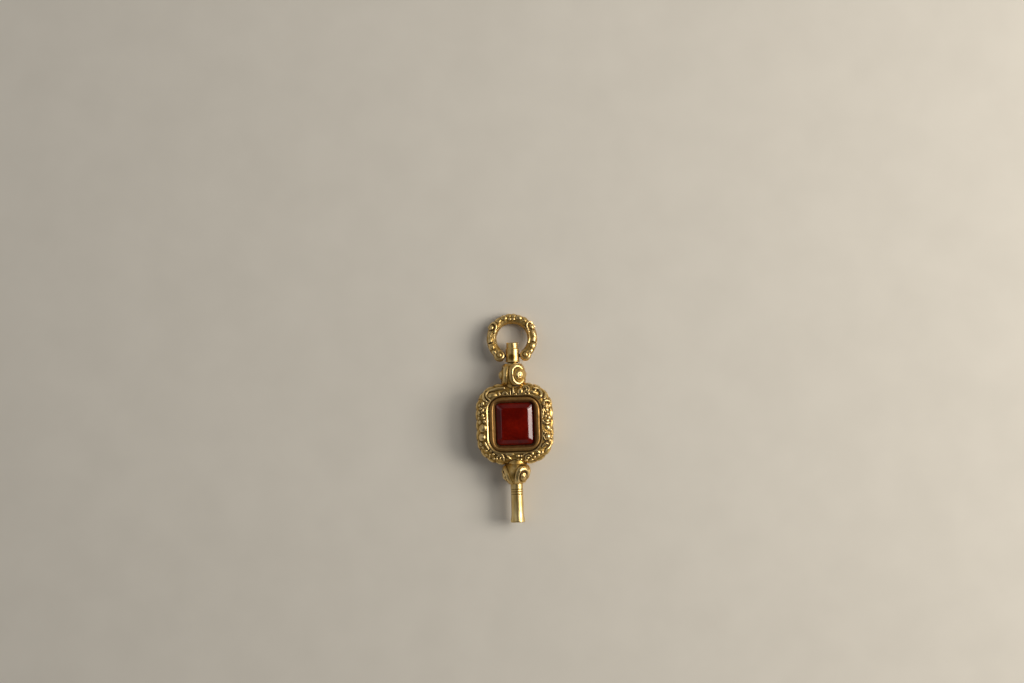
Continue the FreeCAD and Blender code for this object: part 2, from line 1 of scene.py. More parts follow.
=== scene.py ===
import bpy
import bmesh
import json
import numpy as np
from math import asin, atan2, cos, degrees, pi, radians, sin
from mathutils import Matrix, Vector


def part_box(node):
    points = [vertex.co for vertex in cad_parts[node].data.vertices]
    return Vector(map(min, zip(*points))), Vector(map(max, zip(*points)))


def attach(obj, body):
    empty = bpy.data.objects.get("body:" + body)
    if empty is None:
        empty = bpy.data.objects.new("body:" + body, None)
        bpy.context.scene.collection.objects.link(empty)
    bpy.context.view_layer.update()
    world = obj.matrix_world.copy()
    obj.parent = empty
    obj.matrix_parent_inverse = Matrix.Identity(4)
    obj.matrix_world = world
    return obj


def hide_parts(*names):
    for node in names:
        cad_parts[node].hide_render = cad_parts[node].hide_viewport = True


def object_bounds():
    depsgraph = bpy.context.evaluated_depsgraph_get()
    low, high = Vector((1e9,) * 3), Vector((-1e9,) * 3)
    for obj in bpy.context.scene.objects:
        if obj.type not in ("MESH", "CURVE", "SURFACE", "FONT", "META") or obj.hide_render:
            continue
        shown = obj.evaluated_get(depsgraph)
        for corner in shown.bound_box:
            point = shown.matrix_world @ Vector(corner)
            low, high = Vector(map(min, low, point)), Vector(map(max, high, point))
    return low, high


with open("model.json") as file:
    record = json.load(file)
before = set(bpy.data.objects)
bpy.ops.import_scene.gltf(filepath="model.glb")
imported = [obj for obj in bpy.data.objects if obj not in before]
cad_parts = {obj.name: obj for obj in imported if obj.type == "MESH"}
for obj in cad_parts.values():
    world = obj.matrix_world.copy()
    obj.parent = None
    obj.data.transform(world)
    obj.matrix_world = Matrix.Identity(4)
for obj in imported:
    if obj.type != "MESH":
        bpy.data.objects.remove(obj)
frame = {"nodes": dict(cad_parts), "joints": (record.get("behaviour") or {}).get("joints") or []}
cad_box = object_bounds()

# The table is a plain pale board. The camera looks straight down on it, and the key lies a little
# turned in its view.
MM = 0.001
KEY_TURN = 1.9                # degrees that the key leans to the left in the view
VIEW_WIDTH = 204.8 * MM       # width of table in the view, at the height of the key's axis
LENS = 85.0
SENSOR = 36.0
VIEW_CENTRE = (0.0, 36.12 * MM)

camera_data = bpy.data.cameras.new("camera")
camera_data.lens = LENS
camera_data.sensor_width = SENSOR
camera_data.clip_start = 0.01
camera_data.clip_end = 10.0
camera = bpy.data.objects.new("camera", camera_data)
camera.location = (*VIEW_CENTRE, VIEW_WIDTH * LENS / SENSOR)
camera.rotation_euler = (0.0, 0.0, radians(-KEY_TURN))
bpy.context.collection.objects.link(camera)
bpy.context.scene.camera = camera
bpy.context.scene.view_settings.view_transform = "Standard"


def linear(code):
    """sRGB hex, as a colour picker shows it, to the linear colour that a shader takes."""
    parts = [int(code[i:i + 2], 16) / 255 for i in (1, 3, 5)]
    return tuple(c / 12.92 if c <= 0.04045 else ((c + 0.055) / 1.055) ** 2.4 for c in parts) + (1.0,)


def link_values(tree, item, inputs):
    """Sets plain values on a node, and joins the outputs of other nodes to it."""
    for socket, value in inputs.items():
        if isinstance(value, bpy.types.NodeSocket):
            tree.links.new(value, item.inputs[socket])
        else:
            item.inputs[socket].default_value = value


def add(tree, kind, inputs=None, stops=None, **settings):
    """One shader node with its settings, its plain values, its links and, on a ramp, its stops."""
    item = tree.nodes.new(kind)
    for name, value in settings.items():
        setattr(item, name, value)
    link_values(tree, item, inputs or {})
    for number, (place, colour) in enumerate(stops or ()):
        ramp = item.color_ramp.elements
        stop = ramp[number] if number < 2 else ramp.new(place)
        stop.position = place
        stop.color = linear(colour) if isinstance(colour, str) else (colour, colour, colour, 1.0)
    return item


def new_material(name):
    """An empty material with its node tree, its shader and the piece's own coordinates in metres."""
    material = bpy.data.materials.new(name)
    material.use_nodes = True
    tree = material.node_tree
    tree.nodes.clear()
    shader = add(tree, "ShaderNodeBsdfPrincipled")
    add(tree, "ShaderNodeOutputMaterial", {"Surface": shader.outputs["BSDF"]})
    place = add(tree, "ShaderNodeTexCoord").outputs["Object"]
    return material, tree, shader, place


def mottled(name, size, detail, tones, surface):
    """A material in two close tones that drift into each other in spots of about the given size."""
    material, tree, shader, place = new_material(name)
    spots = add(tree, "ShaderNodeTexNoise", {"Vector": place, "Scale": 1 / size, "Detail": detail})
    colour = add(tree, "ShaderNodeValToRGB", {"Fac": spots.outputs["Fac"]},
                 stops=[(0.3, tones[0]), (0.7, tones[1])])
    link_values(tree, shader, {"Base Color": colour.outputs["Color"], **surface})
    return material, tree, shader, spots


# Matt paint on a flat board, in two warm whites so close that they only keep it from looking flat.
BOARD_TONES = ("#DED9CE", "#E2DDD2")
BOARD_SPOT = 9.0 * MM
BOARD_SIZE = 1.2
board_material = mottled("painted_board", BOARD_SPOT, 2.0, BOARD_TONES, {"Roughness": 0.75})[0]

table_low = cad_box[0][2]
corners = [(x * BOARD_SIZE, y * BOARD_SIZE, table_low) for x, y in ((-1, -1), (1, -1), (1, 1), (-1, 1))]
board_mesh = bpy.data.meshes.new("table_board")
board_mesh.from_pydata(corners, [], [(0, 1, 2, 3)])
board_mesh.materials.append(board_material)
board = bpy.data.objects.new("table_board", board_mesh)
bpy.context.collection.objects.link(board)

# Soft studio light: a bright window low on the right, a broad pale screen above it, a dim screen on the
# left and a pale room with a dark ceiling, so the stone's flat table shows its own colour.
LAMPS = (("window_lamp", (0.43, 0.03, 0.24), 0.22, 1.40, "#FFF8EE"),
         ("right_screen", (0.33, 0.14, 0.36), 0.30, 0.95, "#FFF9F0"),
         ("left_screen", (-0.27, 0.12, 0.40), 0.32, 0.18, "#F4F6FF"))
KEY_MIDDLE = (0.0, 20 * MM, 0.0)
ROOM_WALLS = "#D8D6D2"
ROOM_CEILING = "#3C3A36"
ROOM_LIGHT = 0.50
for name, spot, size, watts, tint in LAMPS:
    lamp_data = bpy.data.lights.new(name, "AREA")
    lamp_data.energy = watts
    lamp_data.size = size
    lamp_data.color = linear(tint)[:3]
    lamp = bpy.data.objects.new(name, lamp_data)
    lamp.location = spot
    aim = Vector(KEY_MIDDLE) - Vector(spot)
    lamp.rotation_euler = aim.to_track_quat("-Z", "Y").to_euler()
    bpy.context.collection.objects.link(lamp)
room = bpy.data.worlds.new("room")
room.use_nodes = True
above = add(room.node_tree, "ShaderNodeSeparateXYZ",
            {0: add(room.node_tree, "ShaderNodeTexCoord").outputs["Generated"]})
walls = add(room.node_tree, "ShaderNodeValToRGB", {"Fac": above.outputs["Z"]},
            stops=[(0.36, ROOM_WALLS), (0.72, ROOM_CEILING)])
link_values(room.node_tree, room.node_tree.nodes["Background"],
            {"Color": walls.outputs["Color"], "Strength": ROOM_LIGHT})
bpy.context.scene.world = room


# Front and back half-frames: stamped from thin gold sheet in deep scrollwork, then chased by hand and
# soldered on a seam round the edge. The relief is displaced on the plain domed section of the solids.
WALL = 0.3                    # in millimetres, as all sizes of the key's pieces are
WINDOW_CORNER = 2.7
BORDER = 0.45                 # plain band between the scrollwork and the window
BORDER_DROP = 0.3
FLANGE_BELOW = 0.2            # the flange round the window ends this far under the collet
DOME = 2.0
GRID = 0.075                  # spacing of the mesh's points
SPACED_AT = 1.5               # measured this far out from the window
SINK = 0.11                   # the ground lies this far under the plain section
RIM_CLEAR = 0.05              # and the crests stay this far behind the collet's rim
KNOP_BASE = 2.1               # radius of each knop where it is saddled to the body
INSIDE_MARK = 0.6             # how dull and brown the hidden inner skins are
BORDER_MARK = 0.22            # and the plain band
KNOP_JOINT_SHADE = 0.9             # and the painted shade in the joint round the knops
KNOP_JOINT_SHADE_WIDTH = 0.16


def smooth_piece(name, points, faces, material, hollow=None, sharp_angle=55.0):
    """A piece from points in millimetres, smooth but for its real edges; hollow marks how dark its recesses
    and joints are, patina and painted shade.
    """
    mesh = bpy.data.meshes.new(name)
    mesh.from_pydata((np.asarray(points) * MM).tolist(), [], [list(map(int, face)) for face in faces])
    shape = bmesh.new()
    shape.from_mesh(mesh)
    bmesh.ops.recalc_face_normals(shape, faces=shape.faces)
    shape.to_mesh(mesh)
    shape.free()
    mesh.shade_smooth()
    mesh.set_sharp_from_angle(angle=radians(sharp_angle))
    if hollow is not None:
        marks = mesh.attributes.new("hollow", "FLOAT", "POINT")
        marks.data.foreach_set("value", np.asarray(hollow, dtype=np.float32))
    mesh.materials.append(material)
    piece = bpy.data.objects.new(name, mesh)
    bpy.context.collection.objects.link(piece)
    return piece


def sheet_piece(name, outer, inner, around, material, hollow=None):
    """Closed piece of sheet metal between an outer and an inner skin, both grids of points (column, row).
    With around, the last column joins the first; without, both ends are closed too."""
    columns, rows = outer.shape[:2]
    inside = columns * rows
    points = np.concatenate([outer.reshape(-1, 3), inner.reshape(-1, 3)])
    spans = columns if around else columns - 1
    i, j = np.meshgrid(np.arange(spans), np.arange(rows - 1), indexing="ij")
    a = (i * rows + j).ravel()
    b = (((i + 1) % columns) * rows + j).ravel()
    skins = [np.stack([a, b, b + 1, a + 1], 1), inside + np.stack([a, a + 1, b + 1, b], 1)]
    i = np.arange(spans)
    for row in (0, rows - 1):
        a, b = i * rows + row, ((i + 1) % columns) * rows + row
        skins.append(np.stack([a, b, b + inside, a + inside], 1))
    if not around:
        j = np.arange(rows - 1)
        for column in (0, columns - 1):
            a = column * rows + j
            skins.append(np.stack([a, a + 1, a + 1 + inside, a + inside], 1))
    marks = None if hollow is None else np.concatenate([hollow.ravel(), np.full(inside, INSIDE_MARK)])
    return smooth_piece(name, points, np.concatenate(skins), material, marks)


def softened(grid, times, around):
    """Grid of heights, blurred a little at a time along both of its directions."""
    soft = grid.copy()
    for _ in range(times):
        if around:
            soft = (np.roll(soft, 1, 0) + 2 * soft + np.roll(soft, -1, 0)) / 4
        else:
            soft[1:-1] = (soft[:-2] + 2 * soft[1:-1] + soft[2:]) / 4
        soft[:, 1:-1] = (soft[:, :-2] + 2 * soft[:, 1:-1] + soft[:, 2:]) / 4
    return soft


def recess_patina_and_shade(height, around):
    """0 on rubbed crests to 1 in deep recesses, from the relief's height over its surroundings: patina left
    in the hollows, and painted shade where the recesses lie in shade.
    """
    near = softened(height, 6, around) - height
    wide = softened(height, 40, around) - height
    return np.clip(0.34 + near * 4.5 + wide * 1.4, 0.0, 1.0)


def rounded(distance, half_width):
    """Cross-section of a struck ridge or bead: round on top, steep at its foot."""
    share = np.clip(distance / half_width, 0.0, 1.0)
    return (1 - share ** 2) ** 0.7


def hand_noise(points, size, seed):
    """Slow unevenness of hand work, about -1 to 1, with a given size in millimetres."""
    chance = np.random.default_rng(seed)
    total = np.zeros(points.shape[:-1])
    for _ in range(7):
        way = chance.normal(size=3)
        way *= 2 * pi / size / np.linalg.norm(way) * chance.uniform(0.6, 1.5)
        total += np.sin(points @ way + chance.uniform(0, 2 * pi))
    return total / 4


def curve_points(knots, count=9):
    """Points on a smooth curve through a few chosen ones."""
    knots = np.array(knots, dtype=float)
    if len(knots) == 2:
        return knots
    ends = np.vstack([2 * knots[0] - knots[1], knots, 2 * knots[-1] - knots[-2]])
    share = np.linspace(0, 1, count, endpoint=False)[:, None]
    spans = []
    for p, q, r, s in zip(ends, ends[1:], ends[2:], ends[3:]):
        spans.append(0.5 * (2 * q + (r - p) * share + (2 * p - 5 * q + 4 * r - s) * share ** 2
                            + (3 * q - p - 3 * r + s) * share ** 3))
    return np.vstack(spans + [knots[-1:]])


def raised_path(points, path, half_width, taper=0.35):
    """Height from 0 to 1 of a ridge along a path, thinner towards its two ends."""
    best = np.zeros(points.shape[:-1])
    near = np.linalg.norm(points - path.mean(0), axis=-1) < np.ptp(path, 0).max() + 3 * half_width
    spots = points[near]
    height = np.zeros(len(spots))
    for number, (a, b) in enumerate(zip(path, path[1:])):
        along = b - a
        share = np.clip((spots - a) @ along / max(along @ along, 1e-9), 0, 1)
        gap = np.linalg.norm(spots - (a + share[:, None] * along), axis=-1)
        where = (number + share) / (len(path) - 1)
        width = half_width * (1 - taper * np.abs(2 * where - 1) ** 3)
        height = np.maximum(height, rounded(gap, width))
    best[near] = height
    return best


body_low, body_high = (np.array(corner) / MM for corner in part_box("body_front_shell"))
collet_low, collet_high = (np.array(corner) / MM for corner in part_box("front_collet"))
BODY_MIDDLE = (body_low[1] + body_high[1]) / 2
CREST_BEHIND = 0.17           # the plain dome's top lies this far behind the collet's rim
CREST = collet_high[2] - CREST_BEHIND
DOME_MIDDLE = CREST - DOME
COLLET_GAP = 0.04
window_half = (collet_high[:2] - collet_low[:2]) / 2 + COLLET_GAP


def window_path(step):
    """Points on the window's edge with their outward directions, evenly spaced out on the dome."""
    points, ways = [], []
    straight = window_half - WINDOW_CORNER
    centres = [(1, -1), (1, 1), (-1, 1), (-1, -1)]
    for side in range(4):
        start, end = (np.array(centres[k % 4]) * straight for k in (side, side + 1))
        angle = side * pi / 2
        way = np.array([cos(angle), sin(angle)])
        count = round(np.linalg.norm(end - start) / step)
        for share in np.arange(count) / count:
            points.append(start + (end - start) * share + way * WINDOW_CORNER)
            ways.append(way)
        count = round((WINDOW_CORNER + SPACED_AT) * pi / 2 / step)
        for share in np.arange(count) / count:
            turn = angle + share * pi / 2
            way = np.array([cos(turn), sin(turn)])
            points.append(end + way * WINDOW_CORNER)
            ways.append(way)
    return np.array(points), np.array(ways)


def frame_section():
    """Distance from the window, height and outward direction of points on the section, from the seam
    over the dome and the plain border down the window's flange."""
    rows = [(BORDER + DOME, z, 1.0, 0.0) for z in np.linspace(0, DOME_MIDDLE, 8, endpoint=False)]
    for angle in np.linspace(0, pi / 2, round(DOME * pi / 2 / GRID)):
        rows.append((BORDER + DOME * cos(angle), DOME_MIDDLE + DOME * sin(angle), cos(angle), sin(angle)))
    slope = atan2(BORDER_DROP, BORDER)
    for share in np.linspace(0.12, 1.0, 7):
        lean = slope * min(1.0, 1.6 * share)
        rows.append((BORDER * (1 - share), CREST - BORDER_DROP * share ** 1.4, -sin(lean), cos(lean)))
    flange_top = CREST - BORDER_DROP
    for z in np.linspace(flange_top - 0.08, collet_low[2] - FLANGE_BELOW, 7):
        rows.append((0.0, z, -1.0, 0.0))
    return np.array(rows)


edge, outward = window_path(GRID)
section = frame_section()
flat = np.concatenate([outward, np.zeros((len(outward), 1))], 1)
lift = np.array([0.0, 0.0, 1.0])
base = np.zeros((len(edge), len(section), 3))
base[..., :2] = edge[:, None] + outward[:, None] * section[None, :, :1]
base[..., 1] += BODY_MIDDLE
base[..., 2] = section[None, :, 1]
normal = flat[:, None] * section[None, :, 2:3] + lift * section[None, :, 3:4]


def on_dome(spot):
    """Point of the plain dome under a spot given from the body's middle, seen from the front."""
    spot = np.asarray(spot, dtype=float)
    nearest = spot - np.clip(spot, -(window_half - WINDOW_CORNER), window_half - WINDOW_CORNER)
    reach = np.linalg.norm(nearest)
    gap = np.clip(reach - WINDOW_CORNER - BORDER, 0.0, 0.97 * DOME)
    angle = np.arccos(gap / DOME)
    way = nearest / reach
    root = spot - nearest + way * (WINDOW_CORNER + BORDER + DOME * cos(angle))
    out = np.array([way[0] * cos(angle), way[1] * cos(angle), sin(angle)])
    return np.array([root[0], root[1] + BODY_MIDDLE, DOME_MIDDLE + DOME * sin(angle)]), out


# Ridges of the scrollwork: half width, height and a few points, in millimetres from the body's middle.
RIDGES = (
    (0.27, 0.37, ((-4.95, 6.65), (-5.4, 6.25), (-5.5, 5.7), (-5.25, 5.25), (-4.85, 4.9))),
    (0.34, 0.28, ((-5.5, 6.9), (-6.1, 6), (-6, 5.2), (-5.45, 4.7))),
    (0.39, 0.3, ((-4.9, 6.75), (-4, 7), (-3, 7.2), (-1.9, 7.2))),
    (0.23, 0.32, ((-2.35, 5.45), (-2.15, 6.1), (-1.75, 6.4), (-1.4, 6.15), (-1.15, 5.65))),
    (0.15, 0.17, ((-0.68, 5.9), (-0.68, 6.9))), (0.27, 0.39, ((-0.1, 5.6), (-0.1, 6.4), (-0.1, 7.3))),
    (0.27, 0.26, ((1.75, 6.1), (2.4, 6.5), (3, 6.15))),
    (0.29, 0.39, ((4, 7), (4.75, 6.85), (5.25, 6.45), (5.48, 5.9), (5.3, 5.35), (4.7, 5.1), (3.9, 5.1),
                   (3.3, 5.25), (2.9, 5.6))),
    (0.37, 0.28, ((5.7, 6.75), (6.25, 6.1), (6.35, 5.4), (6.05, 4.8))),
    (0.27, 0.43, ((5.95, 3.3), (5.85, 3.95), (6.1, 4.4), (6.6, 4.45), (7.05, 4.1))),
    (0.18, 0.26, ((5.8, 3), (5.95, 2.5), (6.3, 2.1))),
    (0.17, 0.24, ((5.6, 2.8), (5.72, 2.3), (5.65, 1.7), (5.55, 1))),
    (0.27, 0.37, ((5.45, 0.65), (5.75, 0.2), (6.3, -0.05), (6.95, 0.05))),
    (0.18, 0.28, ((5.45, -1.4), (5.8, -1.8), (6.5, -2))),
    (0.18, 0.32, ((6, -2.1), (5.68, -2.5), (5.75, -2.95), (6.1, -3.4))),
    (0.18, 0.22, ((7.3, -2), (7.4, -2.6), (7.25, -3.1))),
    (0.24, 0.39, ((5.35, -4.75), (5.75, -4.3), (6.15, -4), (6.5, -4.25))),
    (0.24, 0.39, ((6.95, -4.3), (6.7, -4.75), (6.25, -5.2), (5.95, -5.65))),
    (0.27, 0.39, ((-5.35, -3.2), (-4.75, -4.55), (-3.9, -5.6), (-2.95, -6), (-2.5, -6.5),
                   (-2.3, -7.3))),
    (0.2, 0.3, ((-1.75, -6.3), (-1.35, -6.6), (-0.95, -7))), (0.18, 0.26, ((-5.2, -5.9), (-5.2, -6.6))),
    (0.27, 0.3, ((-6, -3.45), (-5.85, -4), (-5.35, -4.8))),
    (0.18, 0.26, ((-5.6, 4), (-5.35, 4.35), (-4.9, 4.75))),
)
# Beads, buds and leaves: place, half length, half width, turn in degrees and height.
BUDS = (
    (-4.35, 5.8, 1.08, 0.71, -5, 0.26), (-2.87, 5.95, 0.3, 0.68, 8, 0.3),
    (0.42, 5.85, 0.25, 0.32, 0, 0.26), (1.3, 6.55, 0.59, 0.82, -10, 0.38),
    (2.2, 5.85, 0.34, 0.3, 0, 0.28), (3.9, 6.3, 0.97, 0.39, -10, 0.18), (4.3, 6.6, 0.34, 0.25, 60, 0.28),
    (6.55, 3.3, 0.68, 0.75, 0, 0.26), (7.05, 3.45, 0.3, 0.41, 0, 0.3), (7.15, 2.7, 0.28, 0.34, 0, 0.34),
    (6.5, 2.6, 0.57, 0.41, -20, 0.3), (6.65, 1.75, 0.48, 0.34, 0, 0.28), (6.2, 1.35, 0.41, 0.34, 0, 0.26),
    (6.95, 1, 0.51, 0.48, 0, 0.3), (6.6, 0.45, 0.57, 0.36, 10, 0.2), (6.7, -0.95, 0.82, 0.57, -30, 0.3),
    (7.2, -1.4, 0.28, 0.34, 0, 0.28), (6.6, -2.75, 0.66, 0.71, 0, 0.42), (6.9, -3.5, 0.46, 0.39, 0, 0.34),
    (4.5, -5.7, 0.66, 0.34, -35, 0.26), (3.3, -5.95, 0.34, 0.34, 0, 0.24),
    (3.75, -6.75, 0.3, 0.32, 0, 0.32), (5.3, -5.9, 0.43, 0.34, 30, 0.26), (4.5, -6.4, 0.41, 0.3, 0, 0.22),
    (2.4, -6.85, 0.34, 0.3, 0, 0.3), (2, -7.35, 0.43, 0.27, -20, 0.28), (3.1, -7.3, 0.48, 0.27, 0, 0.24),
    (0.45, -6.4, 0.41, 0.32, 0, 0.22), (1.1, -6.42, 0.27, 0.3, 0, 0.32), (1, -7.15, 0.34, 0.27, 0, 0.28),
    (0.4, -7.2, 0.34, 0.27, 0, 0.18), (-1.2, -6, 0.91, 0.34, 0, 0.2), (-3.1, -6.75, 0.25, 0.34, 0, 0.3),
    (-3.8, -6.85, 0.25, 0.32, 0, 0.3), (-4.4, -6.8, 0.3, 0.25, 0, 0.3), (-4.95, -5.2, 0.27, 0.3, 0, 0.3),
    (-5.9, -5.2, 0.32, 0.27, 0, 0.28), (-4.5, -5.9, 0.34, 0.25, 20, 0.24),
    (-5.85, -6, 0.34, 0.27, 0, 0.24), (-6.9, -3.85, 0.46, 0.41, 0, 0.32),
    (-6.55, -4.5, 0.39, 0.32, 0, 0.26), (-6.72, -2.45, 0.82, 0.82, 0, 0.36),
    (-6.55, -0.65, 0.89, 0.84, 0, 0.32), (-6.05, 0.68, 0.36, 0.39, 0, 0.36),
    (-6.15, 1.35, 0.27, 0.28, 0, 0.3), (-6.35, 1.95, 0.31, 0.41, 10, 0.34),
    (-7.1, 2.3, 0.41, 0.57, 0, 0.34), (-6.72, 3.25, 0.34, 0.34, 0, 0.34), (-7, 0.5, 0.46, 0.51, 0, 0.28),
    (-7.15, 1.4, 0.39, 0.39, 0, 0.24), (-6.5, 2.65, 0.32, 0.27, 0, 0.22),
    (-6.35, 4.2, 0.57, 0.36, 60, 0.28), (-6.95, 3.9, 0.34, 0.39, 0, 0.22),
)
# Curls: middle, first and last radius, first angle, sweep in degrees (positive goes anticlockwise),
# half width of the ridge and height.
CURLS = (
    (2.2, 6.95, 0.4, 0.44, -60, 190, 0.17, 0.26), (2.2, 6.95, 0.86, 0.9, -30, 140, 0.2, 0.28),
    (2.5, -6.8, 1.1, 1.12, 175, -140, 0.18, 0.3), (2.5, -6.85, 0.62, 0.62, 190, -160, 0.18, 0.3),
    (-3.2, -6.75, 0.58, 0.62, 20, 150, 0.17, 0.26), (-5.85, 3, 0.4, 0.44, 60, 230, 0.17, 0.26),
)
# Chased grooves and pits: half width, depth and points.
GROOVES = (
    (0.16, 0.28, ((-5.5, 6.75), (-5.76, 6.1), (-5.7, 5.5), (-5.35, 5.0), (-5.0, 4.65))),
    (0.30, 0.22, ((3.1, 5.85), (3.8, 5.65), (4.6, 5.6))),
    (0.15, 0.26, ((5.05, 7.1), (5.65, 6.5), (5.8, 5.8), (5.6, 5.1))),
    (0.11, 0.26, ((6.48, 3.32), (6.52, 3.18))), (0.11, 0.22, ((7.1, 2.34), (7.12, 2.22))),
    (0.16, 0.26, ((5.5, -0.5), (5.85, -1.1), (6.3, -1.6))),
    (0.13, 0.24, ((5.6, -2.7), (5.5, -3.2), (5.8, -3.65))),
    (0.12, 0.22, ((5.55, -5.1), (6.0, -4.65), (6.35, -4.5))),
    (0.10, 0.30, ((0.0, -5.6), (0.0, -7.5))), (0.08, 0.20, ((0.05, -6.78), (1.4, -6.8))),
    (0.28, 0.20, ((-6.2, -5.5), (-6.0, -5.7))), (0.20, 0.25, ((-6.2, -4.1), (-6.0, -4.45))),
    (0.11, 0.16, ((-5.6, -3.4), (-5.35, -4.0), (-5.0, -4.6))),
    (0.10, 0.22, ((-5.8, -1.55), (-6.6, -1.6), (-7.3, -1.65))),
    (0.10, 0.20, ((-5.9, -3.2), (-6.6, -3.3), (-7.2, -3.4))),
    (0.17, 0.24, ((-5.85, 3.1), (-5.82, 2.9))), (0.10, 0.30, ((-5.15, 0.5), (-5.6, 0.45))),
)
GADROON = 2.0                 # spacing of the small lobes along the seam
LOBE_RISE = 0.32
LOBE_SLANT = 1.6              # radians of a lobe's own turn by which it leans over the dome
LOBE_TOP = 0.28               # share of the dome's height where the lobes begin to fade
LOBE_FADE = 0.25
SEAM_FADE = 0.22              # the relief dies out this close to the seam
FINE_UNEVEN = (0.018, 0.7)    # height and size of the small unevenness of hand work
BROAD_UNEVEN = (0.02, 1.6)


def dome_path(knots):
    """Points of the plain dome under a smooth curve through a few spots."""
    return np.array([on_dome(spot)[0] for spot in curve_points(knots)])


def dome_axes(x, y, turn):
    """Point of the plain dome, its outward direction, and the two directions of a mark turned there."""
    spot, out = on_dome((x, y))
    along = np.array([cos(radians(turn)), sin(radians(turn)), 0.0])
    along -= out * (along @ out)
    along /= np.linalg.norm(along)
    return spot, out, along, np.cross(out, along)


def frame_relief():
    """Height of the scrollwork over the plain section."""
    height = np.zeros(base.shape[:2])
    for half_width, rise, knots in RIDGES:
        height = np.maximum(height, rise * raised_path(base, dome_path(knots), half_width))
    for x, y, half_length, half_width, turn, rise in BUDS:
        spot, out, along, across = dome_axes(x, y, turn)
        offset = base - spot
        near = np.linalg.norm(offset, axis=-1) < 2.0
        share = np.hypot(offset @ along / half_length, offset @ across / half_width)
        height = np.maximum(height, np.where(near, rise * rounded(share, 1.0), 0.0))
    for x, y, first, last, start, sweep, half_width, rise in CURLS:
        spot, out, along, across = dome_axes(x, y, 0.0)
        turns = np.radians(start + np.linspace(0, sweep, max(12, abs(sweep) // 14)))
        radii = np.linspace(first, last, len(turns))[:, None]
        path = spot + radii * (np.cos(turns)[:, None] * along + np.sin(turns)[:, None] * across)
        path -= out * (radii ** 2 / (2 * DOME)) * 0.6
        height = np.maximum(height, rise * raised_path(base, path, half_width, 0.2))
    for half_width, depth, knots in GROOVES:
        height -= depth * raised_path(base, dome_path(knots), half_width, 0.5)
    return height


step = np.linalg.norm(np.diff(base[:, 8], axis=0, append=base[:1, 8]), axis=-1)
travel = np.cumsum(step)
lobes = round(travel[-1] / GADROON)
row_angle = np.clip((section[:, 1] - DOME_MIDDLE) / DOME, -1, 1)
on_edge = np.clip(1.0 - (row_angle - LOBE_TOP) / LOBE_FADE, 0, 1) * np.clip(section[:, 1] / 0.25, 0.25, 1)
on_edge[section[:, 0] < BORDER] = 0.0
relief = frame_relief()
lean = pi * lobes * travel[:, None] / travel[-1] + LOBE_SLANT * row_angle[None, :]
gadroons = LOBE_RISE * np.abs(np.sin(lean)) ** 0.7
relief = np.maximum(relief, gadroons * on_edge[None, :])
worked = np.ones(len(section))
worked[section[:, 0] <= BORDER * 0.99] = 0.0
seam_fade = np.clip(section[:, 1] / SEAM_FADE, 0.0, 1.0)
relief += FINE_UNEVEN[0] * hand_noise(base, FINE_UNEVEN[1], 4) * worked
relief += BROAD_UNEVEN[0] * hand_noise(base, BROAD_UNEVEN[1], 5)
relief = (relief - SINK) * np.maximum(worked * seam_fade, 0.12)
relief[:, worked == 0] *= 0.5


def half_frame(name, node, side):
    """The half-frame in front (side 1) or behind (side -1), as struck from the same die."""
    outer = base + normal * relief[..., None]
    outer[..., 2] = np.minimum(outer[..., 2], collet_high[2] - RIM_CLEAR)
    inner = base - normal * WALL
    inner[..., 2] = np.maximum(inner[..., 2], 0.0)
    outer[..., 2] = np.maximum(outer[..., 2], 0.0)
    mirror = np.array([1.0, 1.0, side])
    marks = recess_patina_and_shade(relief, True)
    marks[:, worked == 0] = BORDER_MARK
    to_knop = np.hypot(outer[..., 0], outer[..., 2]) - KNOP_BASE
    near_end = np.abs(outer[..., 1] - BODY_MIDDLE) > window_half[1] + BORDER
    # Painted shade: a dark band on the frame where the knops are saddled onto it.
    solder = KNOP_JOINT_SHADE * np.exp(-(to_knop / KNOP_JOINT_SHADE_WIDTH) ** 2)
    marks = np.maximum(marks, np.where(near_end, solder, 0.0))
    piece = sheet_piece(name, outer * mirror, inner * mirror, True, repousse_gold, marks)
    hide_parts(node)
    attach(piece, "key_body")


def tarnish_and_shade(tree, *layers):
    """How dark the gold is: its hollow mark, which holds tarnish in the recesses and painted shade, and
    uneven layers, each a noise, strength and shift.
    """
    level = add(tree, "ShaderNodeAttribute", attribute_name="hollow").outputs["Fac"]
    for noise, strength, shift in layers:
        drift = add(tree, "ShaderNodeMath", {0: noise.outputs["Fac"], 1: strength, 2: shift},
                    operation="MULTIPLY_ADD")
        level = add(tree, "ShaderNodeMath", {0: level, 1: drift.outputs[0]}, operation="ADD").outputs[0]
    return level


